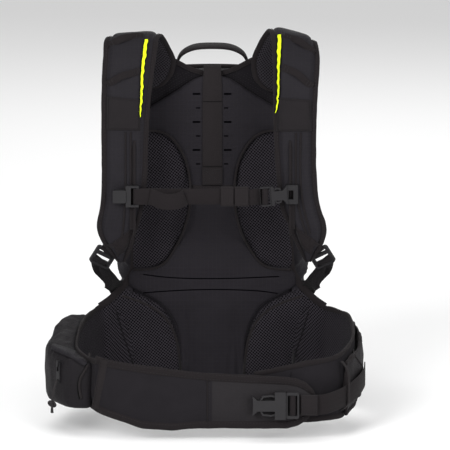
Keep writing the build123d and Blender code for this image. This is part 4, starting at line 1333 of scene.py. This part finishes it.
def make_adjusters():
    """Lower adjuster webbing from each ladder lock to its anchor behind the fin, with a folded tail."""
    for side in SIDES:
        label = SIDES[side]
        run = [
            (138.6, -69.2, 198.5), (139.8, -73.4, 197.2), (141.0, -73.8, 195.0), (142.0, -70.8, 193.2),
            (141.4, -66.0, 189.0),
        ]
        run += [
            (137.0, -59, 180.5), (130.0, -43, 169.5), (124.8, -24, 159), (121.0, -6, 149.5),
            (119.0, 1.0, 145),
        ]
        across = [(0.80, -0.35, 0.45)] * 5 + [(0.66, -0.62, 0.42), (0.50, -0.74, 0.40)]
        across += [(0.42, -0.80, 0.36)] * 3
        run, across = flip(side, run), flip(side, across)
        # The adjuster webbing and its tail take the darker webbing, which is painted shade.
        web = ribbon(f"adjuster_band_{label}", run, across, 19.0, 1.4, "webbing_shaded", 1.5)
        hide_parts(f"adjuster_webbing_{label}")
        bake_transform(web)
        tail = [
            (139.0, -66.8, 190), (137.0, -66.4, 183), (133.0, -62, 175), (130.0, -56, 167), (130.2, -54, 161),
            (131.6, -55, 157),
        ]
        tail, across = flip(side, tail), (side * 0.50, -0.76, 0.34)
        ride(ribbon(f"adjuster_tail_{label}", tail, across, 14.0, 1.3, "webbing_shaded", 1.8), "yoke")
        rows = []
        for t in np.linspace(0, 1, 8):
            z = 158 - 19 * t
            us = np.linspace(0, 1, 8)
            row = [(107 + 17 * u * (1 - 0.3 * t), 1.6 + 0.6 * math.sin(u * 3), z) for u in us]
            rows.append(flip(side, row))
        ride(grid_sheet(f"adjuster_anchor_{label}", rows, "ripstop", None, 2.4), "pack", "adjuster_anchors")


# ------------------------------------------------------------------ hip belt

# Plan paths (x, y) of the wings, and heights of their upper and lower edges against y
WING_R = [
    (-100, -6.5), (-107, -8), (-113, -9.5), (-121, -12), (-132, -17), (-144, -24), (-160, -68), (-167, -115),
    (-168, -157), (-156, -193), (-143, -215),
]
WING_L = [
    (100, -6.5), (107, -8), (113, -9.5), (121, -12), (132, -16.5), (146, -25), (167, -56), (175, -100),
    (173, -150), (158, -194), (132, -214), (106, -220), (52, -222),
]
TOP_YZ = {
    "right": [
        (-260, 97), (-192, 99), (-150, 105), (-110, 116), (-66, 124), (-25, 130.5), (3, 132),
    ],
    "left": [
        (-260, 96), (-218, 98), (-192, 104), (-150, 113), (-110, 121), (-66, 128), (-25, 130.5),
        (3, 132),
    ],
}
FOOT_YZ = {
    "right": [
        (-260, 32), (-215, 33), (-192, 37), (-150, 36), (-110, 32), (-60, 24), (3, 16),
    ],
    "left": [
        (-260, 20), (-190, 20), (-150, 31), (-110, 36), (-60, 24), (3, 16),
    ],
}
# distance from the middle and height above which the wing's root is plain cloth
ROOT_EDGE = [(95, 146), (112, 150), (127, 133), (134, 131), (140, 150)]
HIP_ZIP_LINE = ((-205, -162), (-176, -206))


def height_at(table, t):
    """Looks a value up in a table of pairs."""
    return float(np.interp(t, [p[0] for p in table], [p[1] for p in table]))


def belt_sweep(name, path, low_high, thick, mats, out, count=70, bind=6.0, lift=0.0):
    """An upright pad along a plan path. out is 1 if outwards is to the path's right, else -1."""
    xy = smooth_path(path, count)[:, :2]
    d = unit(np.gradient(xy, axis=0))
    normal = np.stack([d[:, 1] * out, -d[:, 0] * out, np.zeros(len(d))], axis=1)
    sections, centres, which = [], [], None
    for (x, y), n in zip(xy, normal):
        lo, hi = low_high(x, y)
        half = max((hi - lo) / 2, 0.8)
        one, which = pad_section(half, thick, min(bind, half * 0.4), 21)
        sections.append(one)
        centres.append((x + n[0] * lift, y + n[1] * lift, (lo + hi) / 2))
    across = np.tile((0, 0, 1.0), (len(xy), 1))
    return recalc(sweep(name, np.array(centres), across, normal, np.array(sections), mats, which))


def wing_top(label, x, y):
    """The wing's upper edge; the left wing's front part dips behind the band."""
    if y > -24.0:
        return fin(x, 1)
    top = min(height_at(TOP_YZ[label], y), 130.5)
    return min(top, 84.0 + 0.21 * (x - 52)) if label == "left" and y < -205 else top


def make_wings():
    """Hip wings that grow out of the back panel as fins, mesh inside, and their pockets."""
    wings = []
    for label, side, path, out in (("right", -1, WING_R, 1), ("left", 1, WING_L, -1)):
        foot = FOOT_YZ[label]
        low_high = lambda x, y: (height_at(foot, y), wing_top(label, x, y))
        mats = ("softshell", "binding", "mesh", "ripstop_pad")
        wing = belt_sweep(f"wing_pad_{label}", path, low_high, 8.0, mats, out, 130)
        for p in wing.data.polygons:
            c = p.center / MM
            above = c.z > height_at(ROOT_EDGE, abs(c.x))
            if p.material_index == 2 and c.y > -30 and above:
                p.material_index = 3
        wrinkle(wing, 1.2, 30.0, 6.0)
        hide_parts(f"belt_wing_{label}")
        wings.append(wing)
        hip_blend(wing)
    pouch = pocket_block()
    remesh(pouch, 4.0)
    relax(pouch, 6)
    inflate(pouch, 4.0, 5.0, 4.0, lambda x, y, z: x > pouch_inner(y) - 4.5, 16, 1)
    loose = lambda p: (0.35 + 0.65 * ramp01(p.z, 84, 104)) * ramp01(pouch_inner(p.y) - p.x, 3, 12)
    wrinkle(pouch, 2.6, 26.0, 33.0, loose, (1, 1, 0.8))
    ride(pouch, "wing_right", "hip_pocket_right")
    low = [(y, z + 4) for y, z in FOOT_YZ["left"]]
    high = [(y, z - 11) for y, z in TOP_YZ["left"]]
    low_high = lambda x, y: (height_at(low, y), height_at(high, y))
    mats = ("ripstop_light", "binding", "ripstop_light")
    flat = belt_sweep("pocket_pouch_left", WING_L[6:10], low_high, 9.0, mats, -1, 60, 5.0, 8.0)
    wrinkle(flat, 2.4, 24.0, 12.0, None, (1, 1, 0.8))
    ride(flat, "wing_left", "hip_pocket_left")
    return pouch, flat, wings


def make_crease_shade_lines(tree):
    """A dark tube along the deep fold between each lumbar cushion and the wing: painted shade in the crease.
    """
    for side in SIDES:
        label = SIDES[side]
        line = [(121.5, 119), (117, 104), (111, 84), (104, 64), (98.5, 46), (95, 30)]
        path = soften(seen(dense([(side * x, v) for x, v in line], 50, False), tree, 0.1), 3)
        # the tube's dark yoke cloth is painted shade in the crease, not a part of the pack
        hip_blend(tube(f"lumbar_crease_shade_{label}", path, 0.9, "yoke", 2.5))


# y and x of the pocket's inner wall
POUCH_INNER = [(-214, -146.8), (-200, -149.5), (-158, -168), (-116, -167.5), (-70, -160.5), (-38, -149)]


def pouch_inner(y):
    """Where the right pocket meets its wing, inside the wing's padding."""
    return height_at(POUCH_INNER, y)


def pocket_block():
    """The right pocket as a plain closed block, before it is rounded and filled out."""
    outer = [
        (-181, -50, 128), (-200, -91, 116), (-207.5, -135, 107), (-207.5, -163, 103), (-180, -210, 99),
        (-161, -217, 96), (-146.8, -213.8, 94),
    ]
    plan = outer + [
        (-149.5, -200, 92), (-168, -158, 100), (-167.5, -116, 110), (-160.5, -70, 119), (-149, -38, 125),
    ]
    low = [(x, y, height_at(FOOT_YZ["right"], y) + 1) for x, y, _ in plan]
    n = len(plan)
    faces = [tuple(range(n)), tuple(range(2 * n - 1, n - 1, -1))]
    faces += [(i, n + i, n + (i + 1) % n, (i + 1) % n) for i in range(n)]
    return recalc(make("pocket_pouch_right", low + plan, faces, None, ("pouch",)))


# Plan path of the front band, and heights of its edges against x
BAND = [
    (-143.5, -215.2), (-132, -223.5), (-118, -230), (-90, -235), (-40, -235), (40, -235), (90, -235),
    (128.5, -235),
]
BAND_TOP = [
    (-150, 104), (-126, 100), (-50, 90), (-7, 85), (93, 80), (106, 77.5), (116, 72.5), (123, 66), (128, 57),
    (129.5, 48),
]
BAND_LOW = [
    (-150, 34), (-122, 26), (-86, 15), (-50, 12), (-15, 15), (93, 15), (106, 18.5), (117, 25), (125, 34),
    (129.5, 47),
]


def make_band():
    """The padded band across the front: dark panel, lighter panel, broad sewn binding."""
    lo_hi = lambda x, y: (height_at(BAND_LOW, x), height_at(BAND_TOP, x))
    band = belt_sweep("front_band_pad", BAND, lo_hi, 8.0, ("softshell", "binding", "mesh"), 1, 130, 9.0)
    band.data.materials.append(M["ripstop_light"])
    for p in band.data.polygons:
        if p.material_index == 0 and p.center.x > 0.0005:
            p.material_index = 3
    wrinkle(band, 0.8, 30.0, 15.0)
    ride(band, "wing_right", "belt_front_band")
    tree = bvh_of(band)
    for top in (True, False):
        for inset in (7.4, 1.8):
            pts = []
            for x in np.linspace(-130, 119, 100):
                lo, hi = lo_hi(x, 0)
                pts.append((x, -300, hi - inset if top else lo + inset))
            SEW.run(drop(pts, tree, (0, 1, 0), 0.15, 50), "wing_right", 2.4, 1.5, 0.3)
    seam = drop([(-6, -300, z) for z in np.linspace(24, 76, 20)], tree, (0, 1, 0), 0.2, 50)
    ride(tube("front_band_seam", seam, 0.8, "binding", 2.5), "wing_right")
    sewn = drop([(-3.2, -300, z) for z in np.linspace(25, 75, 20)], tree, (0, 1, 0), 0.2, 50)
    SEW.run(sewn, "wing_right", 2.2, 1.4, 0.26)
    strip = seen(between([(-131.8, 58), (-136.5, 32), (-140.5, 10), (-143.0, -2.5)], 20), tree, 0.9)
    across = np.cross(tangents(np.array(strip)), np.tile(GAZE, (20, 1)))
    ride(ribbon("belt_joint_tape", strip, across, 13.0, 1.3, "strap_band", 2.5), "wing_right")
    for d in (-5.4, 5.4):
        sewn = [np.array(q) + a * d - GAZE * 1.0 for q, a in zip(strip, across)]
        SEW.run(sewn, "wing_right", 2.0, 1.4, 0.26, "thread_dark")
    path = [(50, -239.9, 46), (66, -240.1, 46), (84, -240.1, 46)]
    tab = ribbon("buckle_tab_band", path, (0, 0, 1), 18.0, 1.2, "ripstop_light", 2.5)
    ride(tab, "wing_right", "belt_buckle_tab")


def make_belt_webbing():
    """The belt's webbing through the plug's bars, back round the wing, with stop and keeper."""
    z, y = 46.0, -245.2
    bar = 99.46  # x of the plug's webbing bar
    wrap = [
        (4.2, 3.2), (2.9, 1.8), (2.9, -1.0), (1.5, -2.2), (-1.5, -2.2), (-2.9, -1.0), (-2.9, 3.2),
        (-1.2, 4.9),
    ]
    path = [(131.0, 2.2, 0), (120, 3.2, 0)] + [(bar + a, b, 0) for a, b in wrap]
    path += [
        (118, 5.0, 0), (133.0, 5.6, 0), (144, 9.6, 1.2), (162.5, 32, 4.5), (180, 61, 11.5), (188.5, 92, 17),
    ]
    path = [(x, y + dy, z + dz) for x, dy, dz in path + [(190.0, 118, 20.6)]]
    web = ribbon("belt_webbing_band", path, (0, 0, 1), 25.0, 1.4, "webbing", 2.0)
    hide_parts("belt_webbing")
    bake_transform(web)
    path = [(109.6, y + 1.2, z), (120, y + 0.9, z), (130, y + 1.2, z)]
    ride(ribbon("belt_webbing_stop", path, (0, 0, 1), 25.4, 2.2, "strap_band", 2.0), "belt_plug")
    corners = ((111.4, -10.8), (128.4, -10.8), (128.4, 10.8), (111.4, 10.8), (111.4, -10.8))
    box = [(x, y - 0.5, z + dz) for x, dz in corners]
    SEW.run(box, "belt_plug", 2.0, 1.2, 0.3, smooth=False)
    keeper = [
        (160.5, -200.5, 93), (166.2, -207.6, 86), (168.8, -208.8, 74), (169.0, -209.0, 52),
        (168.2, -208.6, 41), (161.0, -201.0, 32),
    ]
    ride(ribbon("belt_keeper_band", keeper, (0.5, 0.86, 0), 5.2, 1.4, "strap_band", 2.0), "wing_left")


def make_hip_zip(pouch, flat):
    """The right pocket's zip under its flap, its piping with a painted shadow line beside the front piping,
    the corded puller, and the left pocket's piping.
    """
    (ax, ay), (bx, by) = HIP_ZIP_LINE
    along = unit(np.array((bx - ax, by - ay, 0)))
    out = np.array((along[1], -along[0], 0))
    mid = np.array(((ax + bx) / 2, (ay + by) / 2, 88.0))
    path = [mid + out * 0.5 + along * s for s in (-26, -14, 0, 14, 26)]
    ride(ribbon("hip_zip_tape", path, (0, 0, 1), 9.0, 0.9, "binding", 3.0), "wing_right", "hip_zip_track")
    pts = even_path(path, 1.5)[:, :3]
    t = tangents(pts)
    side = np.tile((0, 0, 1.0), (len(pts), 1))
    up = unit(np.cross(t, side))
    zip_coil("hip_zip_coil", pts, t, side, up, (0.42, 0.95, 0.75), (0.375, 0), "wing_right")
    tree = bvh_of(pouch)
    upper = dense([(-199, 79), (-186, 75.5), (-170, 69.5), (-151.5, 58.8)], 40, False)
    lower = dense([(-200, 71), (-187, 66), (-173, 60), (-158, 51)], 40, False)
    middle = [((a + c) / 2, (b + d) / 2) for (a, b), (c, d) in zip(upper, lower)]
    flap = [seen(line, tree, lift) for line, lift in ((upper, 0.3), (middle, 1.5), (lower, 2.0))]
    ride(grid_sheet("hip_zip_flap", flap, "ripstop", None, 1.0), "wing_right")
    ride(tube("hip_zip_flap_edge", soften(flap[2], 2), 0.8, "yoke", 2.0), "wing_right")
    ride(tube("hip_zip_flap_seam", soften(flap[0], 2), 0.7, "yoke", 2.0), "wing_right")
    sewn = seen([(x + 0.8, v - 1.6) for x, v in upper], tree, 0.9)
    SEW.run([np.array(q) - GAZE * 0.8 for q in sewn], "wing_right", 2.0, 1.4, 0.28)
    front = [(-151.5, 58), (-156, 48), (-162.8, 36), (-164.3, 24), (-162, 11)]
    # A thin near-black tube just beside the front piping is a painted shadow, not a part of the pocket.
    painted_shadow_points = [(x - 2.2, v - 1.0) for x, v in front]
    pipings = (("front", front, "strap_band", 1.2, 1.5), ("front_shade", painted_shadow_points, "rubber", 0.3, 0.8))
    for name, points, mat, lift, r in pipings:
        line = seen(dense(points, 40, False), tree, lift)
        ride(tube(f"pocket_piping_{name}", soften(line, 2), r, mat, 2.0), "wing_right")
    pin = mid + out * (1.4 + 0.3 + 5.2) + along * 10 + np.array((0, 0, 1.5))
    eye = pin + np.array((0, 0, -21.0))
    hang = lambda o, s, z: eye + out * o + along * s + np.array((0, 0, z))
    cord = [hang(1.2, 0, 0), hang(3.2, 0, -2.5), hang(6.0, -1, -12), hang(7.4, -2.5, -26)]
    ride(tube("hip_zip_cord", cord, 1.3, "cord", 1.5), "hip_zip_pull")
    for number, lie in ((1, 0.9), (2, -0.9)):
        turn = [(2.6 * math.cos(t), 2.4 * math.sin(t)) for t in np.linspace(0, 2 * math.pi, 14)[:-1]]
        knot = [hang(7.6 + 1.2 * c * lie, -2.6 + c, -29.6 + q + 0.6 * lie * c) for c, q in turn]
        ride(tube(f"hip_zip_cord_knot_{number}", knot, 1.9, "cord", 1.0, 10, True), "hip_zip_pull")
    for number, lean in ((1, -1.8), (2, 1.0)):
        tail = [hang(7.6, -2.6, -31.5), hang(7.6, -2.6 + lean * 0.5, -36), hang(7.4, -2.6 + lean, -41)]
        ride(tube(f"hip_zip_cord_tail_{number}", tail, 1.2, "cord", 1.5), "hip_zip_pull")
    tree = bvh_of(flat)
    upper, lower = [(172, 70), (178, 62), (183, 55), (187, 49)], [(150, 2), (160, 9), (170, 17), (180, 26)]
    for name, points in (("upper", upper), ("lower", lower)):
        line = soften(seen(dense(points, 30, False), tree, 0.6), 2)
        ride(tube(f"left_pocket_piping_{name}", line, 1.2, "binding", 2.0), "wing_left")


# ------------------------------------------------------------------ inside


def make_inside():
    """Gives the hidden parts their finish and folds the airbag."""
    finish = {
        "cartridge": ("gas_cartridge",),
        "alloy": ("hose_clamp", "firing_head", "lever_pin", "frame_stays"),
        "red": ("release_lever", "jet_pump", "trigger_handle"),
        "rubber": ("check_valve_flap", "release_cable"),
        "sheet": ("frame_sheet",),
        "plastic": (
            "main_zip_slider", "main_zip_puller", "hip_zip_slider", "hip_zip_puller", "compression_buckles",
            "ladder_lock_left", "ladder_lock_right", "chest_buckle_socket", "chest_buckle_plug",
        ),
        "whistle": ("chest_slider_whistle",),
        "plastic_belt": ("belt_buckle_socket", "belt_buckle_plug"),
    }
    for node, mat in [(node, mat) for mat, nodes in finish.items() for node in nodes]:
        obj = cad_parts[node]
        if not obj.material_slots:
            obj.data.materials.append(M[mat])
        for slot in obj.material_slots:
            slot.material = M[mat]
    rings = []
    for t in np.linspace(0, 1, 41):
        z = 320 + 74 * t
        puff = 4.0 * abs(math.sin(t * math.pi * 5))
        rings.append(ring_points(88 + puff, 22 - puff, 70 + puff, z, 12.0, 4, 12.0))
    fold = loft("airbag_folds", rings, "airbag")
    rings = [ring_points(18 + 1.5 * math.sin(k), 30, 66, 242 + k * 8.4, 8.0, 4, 8.0) for k in range(10)]
    neck = loft("airbag_neck", rings, "airbag")
    neck.data.transform(Matrix.Translation((-0.042, 0, 0)))
    airbag = join_objects([fold, neck], "airbag_bundle")
    ride(airbag, "pack", "folded_airbag")


# ------------------------------------------------------------------ staging


# name, place in metres, size in metres, power in watts
LIGHTS = [("key", (-1.4, -2.8, 1.7), 1.6, 85), ("fill", (1.9, -2.4, 1.1), 1.8, 50)]
LIGHTS += [("top", (0.0, -0.6, 2.9), 2.0, 22), ("rim", (0.3, 2.2, 1.6), 1.4, 12)]
LIT_AT = (0, -0.05, 0.25)
SEEN_FROM, SEEN_WIDTH, SENSOR = 12.0, 0.5625, 36.0
SEEN_AT = (0.0158, -0.06, 0.2397)


def place(obj):
    """Puts an object in the scene."""
    bpy.context.scene.collection.objects.link(obj)
    return obj


def make_stage():
    """Pale floor and backdrop, soft lights and the long-lens camera."""
    world = bpy.data.worlds.new("studio")
    world.use_nodes = True
    tree = world.node_tree
    sky = tree.nodes["Background"]
    sky.inputs[0].default_value = (1, 1, 1, 1)
    path = tree.nodes.new("ShaderNodeLightPath")
    level = tree.nodes.new("ShaderNodeMapRange")
    level.inputs[3].default_value = 0.55
    level.inputs[4].default_value = 1.0
    tree.links.new(path.outputs["Is Camera Ray"], level.inputs[0])
    tree.links.new(level.outputs[0], sky.inputs[1])
    bpy.context.scene.world = world
    mat = bpy.data.materials.new("pale_floor")
    mat.use_nodes = True
    bsdf = mat.node_tree.nodes["Principled BSDF"]
    bsdf.inputs["Base Color"].default_value = (0.96, 0.96, 0.96, 1)
    bsdf.inputs["Roughness"].default_value = 0.9
    me = bpy.data.meshes.new("floor")
    me.from_pydata([(-6, -6, 0), (6, -6, 0), (6, 6, 0), (-6, 6, 0)], [], [(0, 1, 2, 3)])
    me.materials.append(mat)
    floor = place(bpy.data.objects.new("floor", me))
    floor.location.z = -0.0005
    for name, spot, size, power in LIGHTS:
        data = bpy.data.lights.new(name, "AREA")
        data.energy = power
        data.size = size
        light = place(bpy.data.objects.new(name, data))
        light.location = spot
        light.rotation_euler = (Vector(LIT_AT) - Vector(spot)).to_track_quat("-Z", "Y").to_euler()
    cam = bpy.data.cameras.new("camera")
    cam.sensor_width = SENSOR
    cam.lens = SENSOR * SEEN_FROM / SEEN_WIDTH
    target = Vector(SEEN_AT)
    obj = place(bpy.data.objects.new("camera", cam))
    obj.location = target + Vector((0, -math.cos(ELEVATION), math.sin(ELEVATION))) * SEEN_FROM
    obj.rotation_euler = (target - obj.location).to_track_quat("-Z", "Y").to_euler()
    bpy.context.scene.camera = obj
    bpy.context.scene.view_settings.view_transform = "Standard"


make_bag()
make_tool_pocket()
make_main_zip()
make_side_straps()
make_haul_loop()
centre_tree, cushions = make_back_panel()
make_prints(centre_tree)
make_yoke()
make_length_strap(centre_tree)
make_straps()
make_rails()
make_chest_strap()
make_adjusters()
right_pouch, left_pouch, wings = make_wings()
make_crease_shade_lines(bvh_of(*cushions, *wings))
make_band()
make_belt_webbing()
make_hip_zip(right_pouch, left_pouch)
make_inside()
make_foot_hem()
SEW.finish()
make_stage()
